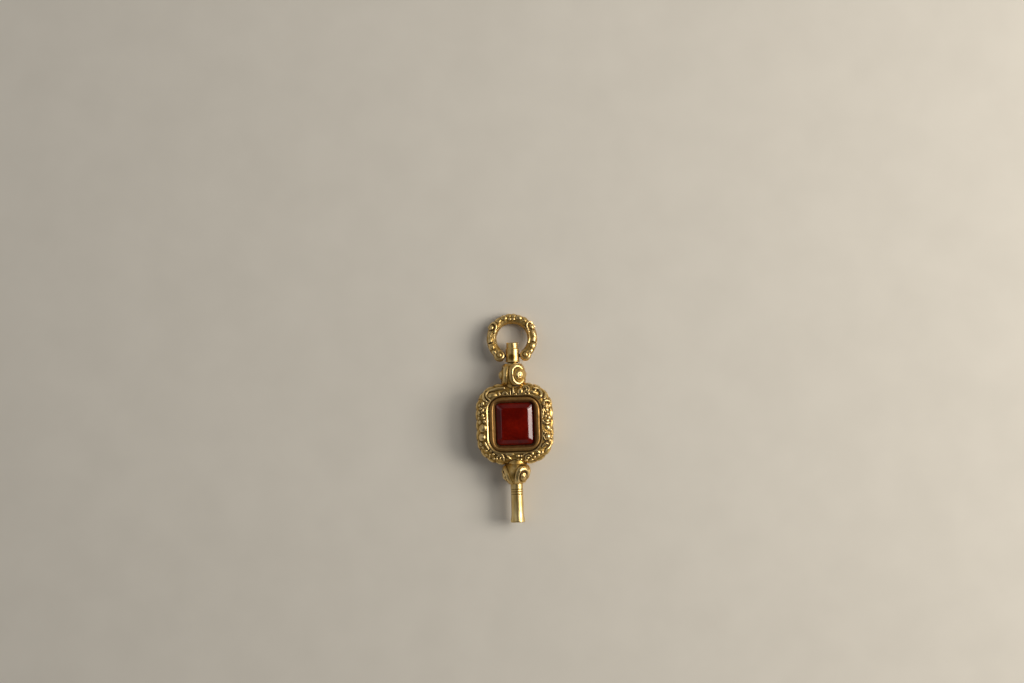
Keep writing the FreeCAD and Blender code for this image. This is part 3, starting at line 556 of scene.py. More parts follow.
def worn_gold(name, crest, middle, recess, rough):
    """Low-carat gold with a hand-worked surface: crests rubbed pale and bright by wear, a dull yellow
    between them, and olive-brown tarnish and old polish left in the recesses, which are darkened further as
    painted shade, as are the joints round the knops. Metal, so its IOR stays."""
    material, tree, shader, place = new_material(name)
    cloud = add(tree, "ShaderNodeTexNoise", {"Vector": place, "Scale": 1 / (1.3 * MM), "Detail": 3.0})
    grain = add(tree, "ShaderNodeTexNoise", {"Vector": place, "Scale": 1 / (0.09 * MM), "Detail": 3.0})
    grime_and_shade = tarnish_and_shade(tree, (cloud, 0.55, -0.275), (grain, 0.30, -0.15))
    colour = add(tree, "ShaderNodeValToRGB", {"Fac": grime_and_shade},
                 stops=[(0.12, crest), (1.0, recess), (0.42, middle), (0.72, recess)])
    gloss = add(tree, "ShaderNodeValToRGB", {"Fac": grime_and_shade},
                stops=[(0.1, rough), (0.9, 0.72), (0.45, rough + 0.10)])
    metal = add(tree, "ShaderNodeValToRGB", {"Fac": grime_and_shade}, stops=[(0.55, 1.0), (0.85, 0.45)])
    bump = add(tree, "ShaderNodeBump", {"Height": grain.outputs["Fac"], "Strength": 0.35,
                                        "Distance": 0.03 * MM})
    link_values(tree, shader, {"Base Color": colour.outputs["Color"], "Roughness": gloss.outputs["Color"],
                               "Metallic": metal.outputs["Color"], "Normal": bump.outputs["Normal"]})
    return material


repousse_gold = worn_gold("repousse_gold", "#F0D293", "#C29B52", "#433117", 0.31)
half_frame("front_half_frame", "body_front_shell", 1)
half_frame("back_half_frame", "body_back_shell", -1)


# Knops: hollow bulbs above and below the body, each stamped in two halves with four C-scrolls round a
# boss, soldered together and saddled to the body's edge. The same worn gold.
KNOP_NECK = 1.65
KNOP_BELLY = 2.6
BELLY_SHARE = 0.56            # the widest place, as a share of the knop's length from its neck
TAIL = 1.25                   # the knop's edge runs this far into the body's hollow
KNOP_SINK = 0.04              # the ground lies this far under the plain section
NECK_BEAD = (0.14, 0.15, 0.06)    # its place, half width and height
CAP_LIP = 0.25                # the cap's rim stands this far over the upper knop's neck
KNOP_COLUMNS = 130
KNOP_UNEVEN = (0.012, 0.8)
# Scrolls of each knop: their bosses' distance from the knop's neck, the way they open in degrees, their
# ridges' radius, how much taller than wide they are, and their places round the knop from its front.
LOWER_SCROLL = (1.40, -50.0, 1.22, 1.22, (35.0, 116.0, 215.0, 285.0))
UPPER_SCROLL = (1.95, 0.0, 1.64, 1.10, (31.0, 120.0, 211.0, 283.0))
SCROLL_HALF = 60              # degrees of the knop to each side that a scroll takes up
OPENING = (35, 60)            # degrees from the gap's middle to its edge, and of the ridge's end
RIDGE_RISE = 0.36
RIDGE_INSIDE = 0.33           # width of the ridge's side towards the boss
RIDGE_OUTSIDE = 0.65
CHASED_INSIDE = 0.42          # the chased groove lies this far inside the ridge
CHASED_WIDTH = 0.13
CHASED_DEPTH = 0.24
BOSS_RADIUS = 0.84
BOSS_RISE = 0.40
BOSS_TALL = 1.1
SPIRAL = (0.2, 0.72, 0.08)    # inner and outer radius of the boss's spiral, and its depth
SPIRAL_TURNS = 2.6            # turns of it per millimetre of radius
SPIRAL_WIDTH = 0.16           # as a share of a turn
PIT = (0.2, -0.15, 0.1, 0.16)     # its place on the boss, radius and depth


def knop_section(length):
    """Distance from the neck, radius and outward direction of points down a knop's side."""
    belly = length * BELLY_SHARE
    rows = []
    for reach, end, first in ((belly, KNOP_NECK, True), (length - belly, KNOP_BASE, False)):
        drop = KNOP_BELLY - end
        bend = (drop ** 2 + reach ** 2) / (2 * drop)
        limit = asin(reach / bend)
        sweep = np.linspace(-limit, 0, 28) if first else np.linspace(0, limit, 24)[1:]
        for angle in sweep:
            rows.append((belly + bend * sin(angle), KNOP_BELLY - bend + bend * cos(angle),
                         sin(angle), cos(angle)))
    for extra in np.linspace(0, TAIL, 8)[1:]:
        rows.append((length + extra, KNOP_BASE, 0.0, 1.0))
    return np.array(rows)


def volute_relief(a, b, opening, crest, tall):
    """Height of one sunk C-scroll with its boss, at a across and b along from the boss's middle."""
    reach = np.hypot(a, b / tall)
    angle = (np.degrees(np.arctan2(b, a)) - opening) % 360
    from_gap = np.minimum(angle, 360 - angle) - OPENING[0]
    closed = np.clip(from_gap / OPENING[1], 0.0, 1.0) ** 0.7
    inside, outside = rounded(crest - reach, RIDGE_INSIDE), rounded(reach - crest, RIDGE_OUTSIDE)
    ridge = RIDGE_RISE * np.where(reach < crest, inside, outside)
    groove = CHASED_DEPTH * np.exp(-((reach - crest + CHASED_INSIDE) / CHASED_WIDTH) ** 2)
    from_boss = np.hypot(a, b / BOSS_TALL)
    boss = BOSS_RISE * rounded(from_boss, BOSS_RADIUS)
    turn = (from_boss * SPIRAL_TURNS - np.radians(angle) / (2 * pi)) % 1.0
    in_spiral = (from_boss > SPIRAL[0]) & (from_boss < SPIRAL[1])
    boss -= SPIRAL[2] * np.exp(-((turn - 0.5) / SPIRAL_WIDTH) ** 2) * in_spiral
    boss -= PIT[3] * np.exp(-((a - PIT[0]) ** 2 + (b - PIT[1]) ** 2) / PIT[2] ** 2)
    return np.maximum(ridge * closed, boss) - groove * (0.25 + 0.75 * closed)


def knop_half(name, node, neck, way, length, scroll, front, seed):
    """Half of a knop, from its neck at the given place towards the body (way 1 or -1)."""
    place, opening, crest, tall, middles = scroll
    section = knop_section(length)
    first = -90 if front else 90
    around = np.radians(np.linspace(first, first + 180, KNOP_COLUMNS))
    turn, down = np.meshgrid(around, section[:, 0], indexing="ij")
    radius = np.broadcast_to(section[None, :, 1], turn.shape)
    height = np.zeros(turn.shape)
    for number, middle in enumerate(middles):
        gap = (np.degrees(turn) - middle + 180) % 360 - 180
        spin = 1 if number % 2 == 0 else -1
        across = radius * np.radians(gap) * spin
        near = np.abs(gap) < SCROLL_HALF
        curl = volute_relief(across, (down - place) * way, opening, crest, tall)
        height = np.where(near & (np.abs(curl) > np.abs(height)), curl, height)
    bead, half_bead, bead_rise = NECK_BEAD
    height = np.maximum(height, bead_rise * rounded(np.abs(down - bead), half_bead))
    out = np.stack([np.sin(turn), np.zeros_like(turn), np.cos(turn)], -1)
    normal = out * section[None, :, 3:4]
    normal[..., 1] = section[None, :, 2] * way
    points = out * radius[..., None]
    points[..., 1] = neck + way * down
    height = height - KNOP_SINK + KNOP_UNEVEN[0] * hand_noise(points, KNOP_UNEVEN[1], seed)
    height = np.where(down > length, -KNOP_SINK, height)
    outer = points + normal * height[..., None]
    limit = collet_high[2] - RIM_CLEAR
    outer[..., 2] = np.clip(outer[..., 2], -limit, limit)
    inner = points - normal * WALL
    piece = sheet_piece(name, outer, inner, False, repousse_gold, recess_patina_and_shade(height, False))
    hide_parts(node)
    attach(piece, "key_body")


pipe_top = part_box("pipe_sleeve")[1][1] / MM
cap_low, cap_high = (np.array(corner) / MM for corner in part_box("upper_knop_cap"))
upper_neck = cap_high[1] - CAP_LIP
lower_length = body_low[1] - pipe_top
upper_length = upper_neck - body_high[1]
knop_half("lower_knop_front", "lower_knop_front_shell", pipe_top, 1, lower_length, LOWER_SCROLL,
          True, 11)
knop_half("lower_knop_back", "lower_knop_back_shell", pipe_top, 1, lower_length, LOWER_SCROLL,
          False, 12)
knop_half("upper_knop_front", "upper_knop_front_shell", upper_neck, -1, upper_length, UPPER_SCROLL,
          True, 13)
knop_half("upper_knop_back", "upper_knop_back_shell", upper_neck, -1, upper_length, UPPER_SCROLL,
          False, 14)


# Collets: closed settings of redder gold that hold the stones, each with a rounded rim that was
# burnished over. They are dull and coppery, because no wear reaches them.
RIM_SHOULDER = 0.40           # height of the rim's round shoulder
SHOULDER_END = 0.32           # shares of the way from the outer wall in to the stone's seat
RIM_FLAT = 0.42
RIM_INNER = 0.56
RIM_DROP = 0.05               # the rim's inner edge lies this far under its top
SEAT_CORNER = 0.8
SEAT_DEPTH = 0.78             # the stone's seat lies this far under the rim
STONE_GAP = 0.05
BED_ROOM = 0.24               # room for the stone's bed over the closed back
RIM_STEP = 0.12               # spacing of the mesh's points along the rim
RIM_CORNER_STEPS = 24
RIM_UNEVEN = (0.03, 2.4)
CORNER_SIGNS = ((1, 1), (-1, 1), (-1, -1), (1, -1))


def rounded_window(half, corner):
    """Points round a window with straight sides and round corners."""
    points = []
    for side, sign in enumerate(CORNER_SIGNS):
        centre = np.array(sign) * (half - corner)
        for share in np.linspace(0, 1, RIM_CORNER_STEPS):
            turn = (side + share) * pi / 2
            points.append(centre + np.array([cos(turn), sin(turn)]) * corner)
    dense = []
    for a, b in zip(points, points[1:] + points[:1]):
        steps = max(1, round(np.linalg.norm(b - a) / RIM_STEP))
        dense += [a + (b - a) * share for share in np.arange(steps) / steps]
    return np.array(dense)


def closed_grid(name, rings, material, hollow, sharp_angle):
    """A solid piece from a grid of points (round, along) whose first and last rings are closed flat."""
    columns, rows = rings.shape[:2]
    i, j = np.meshgrid(np.arange(columns), np.arange(rows - 1), indexing="ij")
    a, b = (i * rows + j).ravel(), (((i + 1) % columns) * rows + j).ravel()
    faces = np.stack([a, b, b + 1, a + 1], 1).tolist()
    for row in (0, rows - 1):
        faces.append([k * rows + row for k in range(columns)])
    marks = None if hollow is None else np.broadcast_to(hollow, (columns, rows)).ravel()
    return smooth_piece(name, rings.reshape(-1, 3), faces, material, marks, sharp_angle)


stone_low, stone_high = (np.array(corner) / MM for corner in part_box("front_stone"))
stone_half = (stone_high[:2] - stone_low[:2]) / 2
collet_half = (collet_high[:2] - collet_low[:2]) / 2
COLLET_CORNER = WINDOW_CORNER - COLLET_GAP
SEAT_HEIGHT = collet_high[2] - SEAT_DEPTH

# Redder gold that no finger reaches: half dull, grainy under its tarnish, and darker into its crevices
# beside the frame and the stone, which is painted shade.
dull_copper, tree, shader, place = new_material("coppery_collet_gold")
cloud = add(tree, "ShaderNodeTexNoise", {"Vector": place, "Scale": 1 / (0.9 * MM), "Detail": 4.0})
grain = add(tree, "ShaderNodeTexNoise", {"Vector": place, "Scale": 1 / (0.07 * MM), "Detail": 2.0})
grime_and_shade = tarnish_and_shade(tree, (cloud, 0.7, -0.35))
colour = add(tree, "ShaderNodeValToRGB", {"Fac": grime_and_shade},
             stops=[(0.1, "#B98F55"), (0.95, "#1E1309"), (0.45, "#8A6636"), (0.7, "#4E3618")])
gloss = add(tree, "ShaderNodeValToRGB", {"Fac": grime_and_shade}, stops=[(0.15, 0.36), (0.8, 0.7)])
bump = add(tree, "ShaderNodeBump", {"Height": grain.outputs["Fac"], "Strength": 0.4,
                                    "Distance": 0.03 * MM})
link_values(tree, shader, {"Base Color": colour.outputs["Color"], "Roughness": gloss.outputs["Color"],
                           "Metallic": 0.9, "Normal": bump.outputs["Normal"]})


def collet(name, node, side):
    """One collet: a rounded rim swept from the outer wall over to the stone's seat, and a closed back."""
    outer_edge = rounded_window(collet_half, COLLET_CORNER)
    half = stone_half + STONE_GAP
    seat_edge = []
    for angle in np.arctan2(outer_edge[:, 1], outer_edge[:, 0]):
        way = np.array([cos(angle), sin(angle)])
        spot = way * min(half[0] / max(abs(way[0]), 1e-6), half[1] / max(abs(way[1]), 1e-6))
        inner = half - SEAT_CORNER
        if (np.abs(spot) > inner).all():
            core = np.sign(spot) * inner
            over = spot - core
            spot = core + over / np.linalg.norm(over) * SEAT_CORNER
        seat_edge.append(spot)
    seat_edge = np.array(seat_edge)
    top = collet_high[2]
    profile = [(0.0, collet_low[2]), (0.0, top - RIM_SHOULDER)]
    for angle in np.linspace(20, 90, 6):
        profile.append((SHOULDER_END * (1 - cos(radians(angle))),
                        top - RIM_SHOULDER * (1 - sin(radians(angle)))))
    profile += [(RIM_FLAT, top), (0.50, top - 0.01), (RIM_INNER, top - RIM_DROP)]
    for share in np.linspace(0.15, 1.0, 6):
        profile.append((RIM_INNER + (1 - RIM_INNER) * share,
                        top - RIM_DROP - (top - RIM_DROP - SEAT_HEIGHT) * share))
    profile.append((1.0, collet_low[2] + BED_ROOM))
    profile = np.array(profile)
    inward = profile[:, 0]
    rings = np.zeros((len(outer_edge), len(profile), 3))
    rings[..., :2] = (outer_edge[:, None] * (1 - inward[None, :, None])
                      + seat_edge[:, None] * inward[None, :, None])
    rings[..., 1] += BODY_MIDDLE
    rings[..., 2] = profile[None, :, 1]
    raised = (inward > 0.05) & (inward < 0.9)
    rings[..., 2] -= np.abs(RIM_UNEVEN[0] * hand_noise(rings, RIM_UNEVEN[1], 21)) * raised
    # Painted shade: darker away from the rim's top, most on the outer wall by the frame and down at the
    # stone's seat.
    dark = 0.24 + 0.35 * np.abs(inward - RIM_FLAT) + 5 * np.clip(inward - 0.9, 0, 0.08)
    dark = np.where(inward < 0.02, 0.8, dark)
    piece = closed_grid(name, rings * (1, 1, side), dull_copper, dark, 40)
    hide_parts(node)
    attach(piece, "key_body")


collet("front_stone_collet", "front_collet", 1)
collet("back_stone_collet", "back_collet", -1)


# Stones: a carnelian in front and a bloodstone behind, each cut with a flat table and a bevel all
# round, and polished. Hard stone lets a little light in, so its colour is deep and its edges glow.
BEVEL_WIDTH = 1.1
BEVEL_HEIGHT = 0.62
STONE_CORNER = 0.95
CORNER_TAPER = 0.45           # the corner gets this much tighter for each millimetre up the bevel
CORNER_STEPS = 9
POLISHED_EDGE = 0.45


def stone(name, node, side, material):
    """A bevelled stone whose edges are softened as a polisher leaves them."""
    levels = ((0.0, stone_low[2]), (0.0, stone_high[2] - BEVEL_HEIGHT), (BEVEL_WIDTH, stone_high[2]))
    quarter = np.repeat(np.arange(4), CORNER_STEPS)
    turn = (quarter + np.tile(np.linspace(0, 1, CORNER_STEPS), 4)) * pi / 2
    way = np.stack([np.cos(turn), np.sin(turn)], -1)
    sign = np.array(CORNER_SIGNS)[quarter]
    rings = np.zeros((len(turn), len(levels), 3))
    for level, (inset, height) in enumerate(levels):
        corner = STONE_CORNER - inset * CORNER_TAPER
        rings[:, level, :2] = sign * (stone_half - inset - corner) + way * corner
        rings[:, level, 2] = height
    rings[..., 1] += BODY_MIDDLE
    piece = closed_grid(name, rings * (1, 1, side), material, None, 20)
    edges = piece.modifiers.new("polished_edges", "BEVEL")
    edges.width = POLISHED_EDGE * MM
    edges.segments = 8
    edges.limit_method = "ANGLE"
    edges.angle_limit = radians(15)
    edges.harden_normals = True
    bpy.context.view_layer.objects.active = piece
    piece.select_set(True)
    bpy.ops.object.modifier_apply(modifier=edges.name)
    piece.select_set(False)
    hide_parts(node)
    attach(piece, "key_body")


# Polished hard stone: brown-red with slow clouds and fine veins, a sharp shine, and a little light that
# goes in and glows red at the thin edges.
carnelian, tree, shader, place = new_material("carnelian")
cloud = add(tree, "ShaderNodeTexNoise", {"Vector": place, "Scale": 1 / (4.0 * MM), "Detail": 4.0})
veins = add(tree, "ShaderNodeTexNoise", {"Vector": place, "Scale": 1 / (0.5 * MM), "Detail": 3.0})
depth = add(tree, "ShaderNodeMath", {0: veins.outputs["Fac"], 1: 0.25, 2: cloud.outputs["Fac"]},
            operation="MULTIPLY_ADD")
colour = add(tree, "ShaderNodeValToRGB", {"Fac": depth.outputs[0]},
             stops=[(0.40, "#4C0601"), (0.85, "#7C1203"), (0.62, "#620A01")])
polish = add(tree, "ShaderNodeBump", {"Height": veins.outputs["Fac"], "Strength": 0.05,
                                      "Distance": 0.02 * MM})
link_values(tree, shader, {"Base Color": colour.outputs["Color"], "Roughness": 0.08, "IOR": 1.54,
                           "Subsurface Weight": 0.12, "Subsurface Radius": (1.0, 0.12, 0.05),
                           "Subsurface Scale": 0.6 * MM, "Normal": polish.outputs["Normal"]})

# The same polish on deep green with cloudy patches and small red spots.
bloodstone, tree, shader, place = new_material("bloodstone")
cloud = add(tree, "ShaderNodeTexNoise", {"Vector": place, "Scale": 1 / (2.2 * MM), "Detail": 5.0})
spots = add(tree, "ShaderNodeTexVoronoi", {"Vector": place, "Scale": 1 / (1.5 * MM), "Randomness": 1.0})
green = add(tree, "ShaderNodeValToRGB", {"Fac": cloud.outputs["Fac"]},
            stops=[(0.3, "#10261C"), (0.75, "#2E4A36")])
mask = add(tree, "ShaderNodeValToRGB", {"Fac": spots.outputs["Distance"]}, stops=[(0.10, 1.0), (0.17, 0.0)])
mixed = add(tree, "ShaderNodeMix", {0: mask.outputs["Color"], 6: green.outputs["Color"],
                                    7: linear("#7A140E")}, data_type="RGBA")
link_values(tree, shader, {"Base Color": mixed.outputs[2], "Roughness": 0.10, "IOR": 1.54})

stone("front_carnelian", "front_stone", 1, carnelian)
stone("back_bloodstone", "back_stone", -1, bloodstone)


# Pipe: a tube of plain gold rolled and soldered round a hardened steel liner. Three fine rings are
# turned near its top, and its mouth is swaged out a little and dented by use.
PIPE_RADIUS = 1.23
PIPE_SEGMENTS = 96
LIP_RADIUS = 1.45
LIP_LAND = 0.35
LIP_ROUND = (0.05, 0.09)      # how far its edge is rounded inwards and along
FLARE = 1.7
LINER_RADIUS = 1.03
RINGS = (1.2, 1.7, 2.2)       # from the top of the pipe
RING_DEPTH = 0.09
RING_WIDTH = 0.09
KNOP_SHADE_LENGTH = 0.18               # the pipe is painted darker this length under the knop, as shade
DENTED = 1.2                  # the mouth is dented this far up
DENT = 0.022
PIPE_STEP = 0.045             # spacing of the mesh's points along the pipe


def plain_gold(name, bright, middle, dark, rough, spot=None):
    """Plain gold, rubbed by fingers: fine scratches along and across, pale where it is handled most and
    browner in streaks. A spot, given as its middle and radius, has worn through to a darker solder."""
    material, tree, shader, place = new_material(name)
    stretched = add(tree, "ShaderNodeMapping", {"Vector": place, "Scale": (1.0, 0.3, 1.0)})
    cloud = add(tree, "ShaderNodeTexNoise", {"Vector": stretched.outputs["Vector"], "Scale": 1 / (0.9 * MM),
                                             "Detail": 4.0})
    rubbed = add(tree, "ShaderNodeMapping", {"Vector": place, "Scale": (1.0, 0.08, 1.0)})
    lines = add(tree, "ShaderNodeTexNoise", {"Vector": rubbed.outputs["Vector"], "Scale": 1 / (0.05 * MM),
                                             "Detail": 2.0})
    tint = tarnish_and_shade(tree, (cloud, 0.8, -0.15))
    if spot:
        middle_of_spot, radius = spot
        gap = add(tree, "ShaderNodeVectorMath", {0: place, 1: middle_of_spot}, operation="DISTANCE")
        ragged = add(tree, "ShaderNodeMath", {0: cloud.outputs["Fac"], 1: -radius, 2: gap.outputs["Value"]},
                     operation="MULTIPLY_ADD")
        stain = add(tree, "ShaderNodeMapRange", {"Value": ragged.outputs[0], "From Min": 0.1 * radius,
                                                 "From Max": 0.6 * radius, "To Min": 0.6, "To Max": 0.0})
        tint = add(tree, "ShaderNodeMath", {0: tint, 1: stain.outputs["Result"]}, operation="ADD").outputs[0]
    colour = add(tree, "ShaderNodeValToRGB", {"Fac": tint},
                 stops=[(0.15, bright), (1.0, dark), (0.5, middle)])
    gloss = add(tree, "ShaderNodeValToRGB", {"Fac": lines.outputs["Fac"]},
                stops=[(0.3, rough), (0.75, rough + 0.14)])
    bump = add(tree, "ShaderNodeBump", {"Height": lines.outputs["Fac"], "Strength": 0.22,
                                        "Distance": 0.015 * MM})
    link_values(tree, shader, {"Base Color": colour.outputs["Color"], "Roughness": gloss.outputs["Color"],
                               "Metallic": 1.0, "Normal": bump.outputs["Normal"]})
    return material


def turned_rings(profile, segments, seed, unevenness):
    """Grid of points (round, along) turned about the key's axis, slightly out of round as by hand."""
    turn = np.linspace(0, 2 * pi, segments, endpoint=False)
    rings = np.zeros((segments, len(profile), 3))
    rings[..., 0] = np.sin(turn)[:, None] * profile[None, :, 1]
    rings[..., 1] = profile[None, :, 0]
    rings[..., 2] = np.cos(turn)[:, None] * profile[None, :, 1]
    swell = 1 + unevenness * hand_noise(rings, 2.2, seed)
    rings[..., 0] *= swell
    rings[..., 2] *= swell
    return rings


pipe_gold = plain_gold("burnished_pipe_gold", "#EACF90", "#C19A50", "#584018", 0.29)
along = np.concatenate([np.linspace(0, 0.1, 4), np.linspace(0.14, LIP_LAND + FLARE, 30),
                        np.arange(LIP_LAND + FLARE + 0.05, pipe_top - 0.02, PIPE_STEP), [pipe_top]])
flare_share = np.clip((LIP_LAND + FLARE - along) / FLARE, 0, 1)
wide = PIPE_RADIUS + (LIP_RADIUS - PIPE_RADIUS) * flare_share ** 1.9
wide -= LIP_ROUND[0] * np.clip(1 - along / LIP_ROUND[1], 0, 1) ** 2
recess = np.zeros(len(along))
# Painted shade: the turned rings and the length under the knop are darkened through the hollow mark.
for ring in RINGS:
    dip = np.exp(-((along - (pipe_top - ring)) / (RING_WIDTH / 2)) ** 2)
    wide -= RING_DEPTH * dip
    recess = np.maximum(recess, dip * 0.7)
recess = np.maximum(recess, np.clip(1 - (pipe_top - along) / KNOP_SHADE_LENGTH, 0, 1) * 0.8)
sleeve_outer = turned_rings(np.stack([along, wide], 1), PIPE_SEGMENTS, 31, 0.006)
dents = np.clip(1 - along / DENTED, 0, 1)[None, :] * hand_noise(sleeve_outer * (1, 0, 1), 1.5, 32)
sleeve_outer[..., 0] *= 1 - DENT * np.abs(dents)
sleeve_outer[..., 2] *= 1 - DENT * np.abs(dents)
bore = np.stack([along, np.full(len(along), LINER_RADIUS)], 1)
sleeve_inner = turned_rings(bore, PIPE_SEGMENTS, 31, 0.0)
marks = np.broadcast_to(recess, sleeve_outer.shape[:2])
sleeve = sheet_piece("pipe_tube", sleeve_outer, sleeve_inner, True, pipe_gold, marks)
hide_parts("pipe_sleeve")
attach(sleeve, "key_body")

# Hardened steel, ground and then left to brown: dark grey, and duller where it is darker.
hard_steel, tree, shader, cloud = mottled("hardened_steel", 0.4 * MM, 4.0, ("#3C3A38", "#77736E"),
                                          {"Metallic": 1.0})
gloss = add(tree, "ShaderNodeValToRGB", {"Fac": cloud.outputs["Fac"]}, stops=[(0.3, 0.55), (0.7, 0.32)])
link_values(tree, shader, {"Roughness": gloss.outputs["Color"]})


def finish_nodes(material, *names):
    """Gives CAD nodes that are shown as they are their material."""
    for name in names:
        mesh = frame["nodes"][name].data
        mesh.materials.clear()
        mesh.materials.append(material)


finish_nodes(hard_steel, "pipe_liner", "bow_pin")


# Swivel: a turned stem on a riveted stud that turns in the cap of the upper knop. The stem is thick
# gold, stepped near its top, with a darker rubbed patch in front.
STEM_RADIUS = 1.35
STEM_TOP_RADIUS = 1.18
STEM_TOP = 1.3                # length of the thinner top
STEM_FOOT_RADIUS = 1.45
STEM_EDGE = 0.09
FOOT_FILLET = 0.45
TENON = (0.7, 1.10, 0.24)     # radius of its end and of its side, and length
STEP_LENGTH = 0.22
TOP_EDGE = 0.12
STEM_SEGMENTS = 72
RUBBED_PATCH = (-0.15, 0.95, 0.75)    # its place to the side and up from the foot, and its radius
stem_low, stem_high = (np.array(corner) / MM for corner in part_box("swivel_stem"))
stem_foot = stem_low[1] + TENON[2]
stem_step = stem_high[1] - STEM_TOP

stem_rows = [(stem_low[1], TENON[0]), (stem_low[1], TENON[1]), (stem_foot - 0.01, TENON[1])]
for share in np.linspace(0, 1, 5):
    stem_rows.append((stem_foot + STEM_EDGE * (1 - cos(share * pi / 2)),
                      STEM_FOOT_RADIUS - STEM_EDGE * (1 - sin(share * pi / 2))))
for share in np.linspace(0.1, 1, 7):
    stem_rows.append((stem_foot + STEM_EDGE + FOOT_FILLET * share,
                      STEM_RADIUS + (STEM_FOOT_RADIUS - STEM_RADIUS) * (1 - share) ** 2))
stem_rows += [(y, STEM_RADIUS) for y in np.arange(stem_foot + 0.7, stem_step - 0.05, 0.15)]
for share in np.linspace(0, 1, 6):
    stem_rows.append((stem_step + STEP_LENGTH * share, STEM_RADIUS - (STEM_RADIUS - STEM_TOP_RADIUS)
                      * 0.5 * (1 - cos(pi * share))))
stem_rows += [(y, STEM_TOP_RADIUS) for y in np.arange(stem_step + 0.3, stem_high[1] - 0.14, 0.15)]
for share in np.linspace(0, 1, 5):
    stem_rows.append((stem_high[1] - TOP_EDGE * (1 - sin(share * pi / 2)),
                      STEM_TOP_RADIUS - TOP_EDGE * (1 - cos(share * pi / 2))))
stem_rows = np.array(stem_rows)
# Painted shade: the tenon under the foot, down in the knop's cap, is darkened.
stem_marks = np.where(stem_rows[:, 0] < stem_foot + 0.02, 0.8, 0.05)
patch_middle = (RUBBED_PATCH[0] * MM, (stem_foot + RUBBED_PATCH[1]) * MM, STEM_RADIUS * MM)
stem_gold = plain_gold("rubbed_stem_gold", "#E8CC8C", "#BB944C", "#503815", 0.29,
                       (patch_middle, RUBBED_PATCH[2] * MM))
stem = closed_grid("swivel_post", turned_rings(stem_rows, STEM_SEGMENTS, 41, 0.008), stem_gold,
                   stem_marks, 40)
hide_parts("swivel_stem")
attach(stem, "swivel")
finish_nodes(stem_gold, "upper_knop_cap")


# Bow: a hollow ring in two stamped halves with scrolls, buds and a band on each limb; its ends are
# rolled into terminals that hold the hinge pin. It hangs down from its pin to the table.
BOW_OFFSET = 3.45             # from the pin to the ring's middle
BOW_RADIUS = 4.08
BOW_TUBE = 1.0
BOW_RELIEF = 0.1
BOW_SINK = 0.06               # the ground lies this far under the plain tube
BOW_FACE = 55                 # degrees from the tube's outer side to the middle of its relief
REST_GAP = 0.02
TERMINAL_OFFSET = 2.6
TERMINAL_RADIUS = 1.2
TERMINAL_FACE = 1.55
RAISED_RING = (52, 15, 0.10)  # degrees from the terminal's front, half width in degrees, height
FRONT_BOSS = (22, 0.12)
SUNK_RINGS = ((29, 6, 0.10), (74, 5, 0.05))
# On each limb, in degrees up from the ring's side and millimetres across the tube. Buds: place, place
# across, half length, half width, height and lean. Ridges and grooves: half width, height and points.
BOW_BUDS = (
    (29, 0.0, 0.50, 0.42, 0.30, 0), (10, 0.1, 0.85, 0.50, 0.16, 14), (-4, 0.15, 0.60, 0.45, 0.14, -10),
    (-23, 0.05, 0.62, 0.72, 0.22, 0), (-37, -0.1, 0.50, 0.50, 0.20, 0), (55, -0.1, 0.62, 0.80, 0.20, 12),
    (70, 0.1, 0.62, 0.75, 0.24, -12), (84, -0.2, 0.55, 0.62, 0.20, 10), (85, 0.85, 0.40, 0.30, 0.16, 0),
)
BOW_RIDGES = (
    (0.22, 0.32, ((27, -0.75), (37, -0.65), (43, 0.0), (39, 0.75), (28, 1.0), (17, 1.05))),
    (0.14, 0.18, ((42, 1.35), (20, 1.25), (0, 1.2), (-20, 1.25))),
)
BOW_GROOVES = (
    (0.11, 0.26, ((-12, -0.5), (-12, 0.8))), (0.09, 0.14, ((16, -0.4), (2, -0.25), (-10, -0.35))),
    (0.12, 0.20, ((28, 0.62), (21, 0.25), (20, -0.45))),
)
HATCHING = (0.36, 0.05)       # spacing and depth of the fine lines on the band
END_TUCK = 2                  # degrees that the ring's ends run into the terminals
BOW_GRID = (300, 46)          # columns and rows of the ring's mesh, and of a terminal's
TERMINAL_GRID = (72, 60)
BOW_UNEVEN = (0.015, 0.7)
pivot = next(joint for joint in frame["joints"] if joint["name"] == "bow_swing")["pos_m"]
pivot = np.array(pivot) / MM
droop = asin((collet_high[2] - REST_GAP - BOW_RELIEF - BOW_TUBE) / (BOW_OFFSET + BOW_RADIUS))


def drooped(points):
    """Points made flat about the pin, turned down with the hanging bow."""
    turned = points.copy()
    turned[..., 1] = points[..., 1] * cos(droop) + points[..., 2] * sin(droop) + pivot[1]
    turned[..., 2] = points[..., 2] * cos(droop) - points[..., 1] * sin(droop) + pivot[2]
    return turned


def bow_line(spots, knots, half_width):
    """Height from 0 to 1 of a ridge on the tube, through points given in degrees and millimetres."""
    path = curve_points(knots) * (radians(1) * BOW_RADIUS, 1.0)
    return raised_path(spots, path, half_width, 0.4)


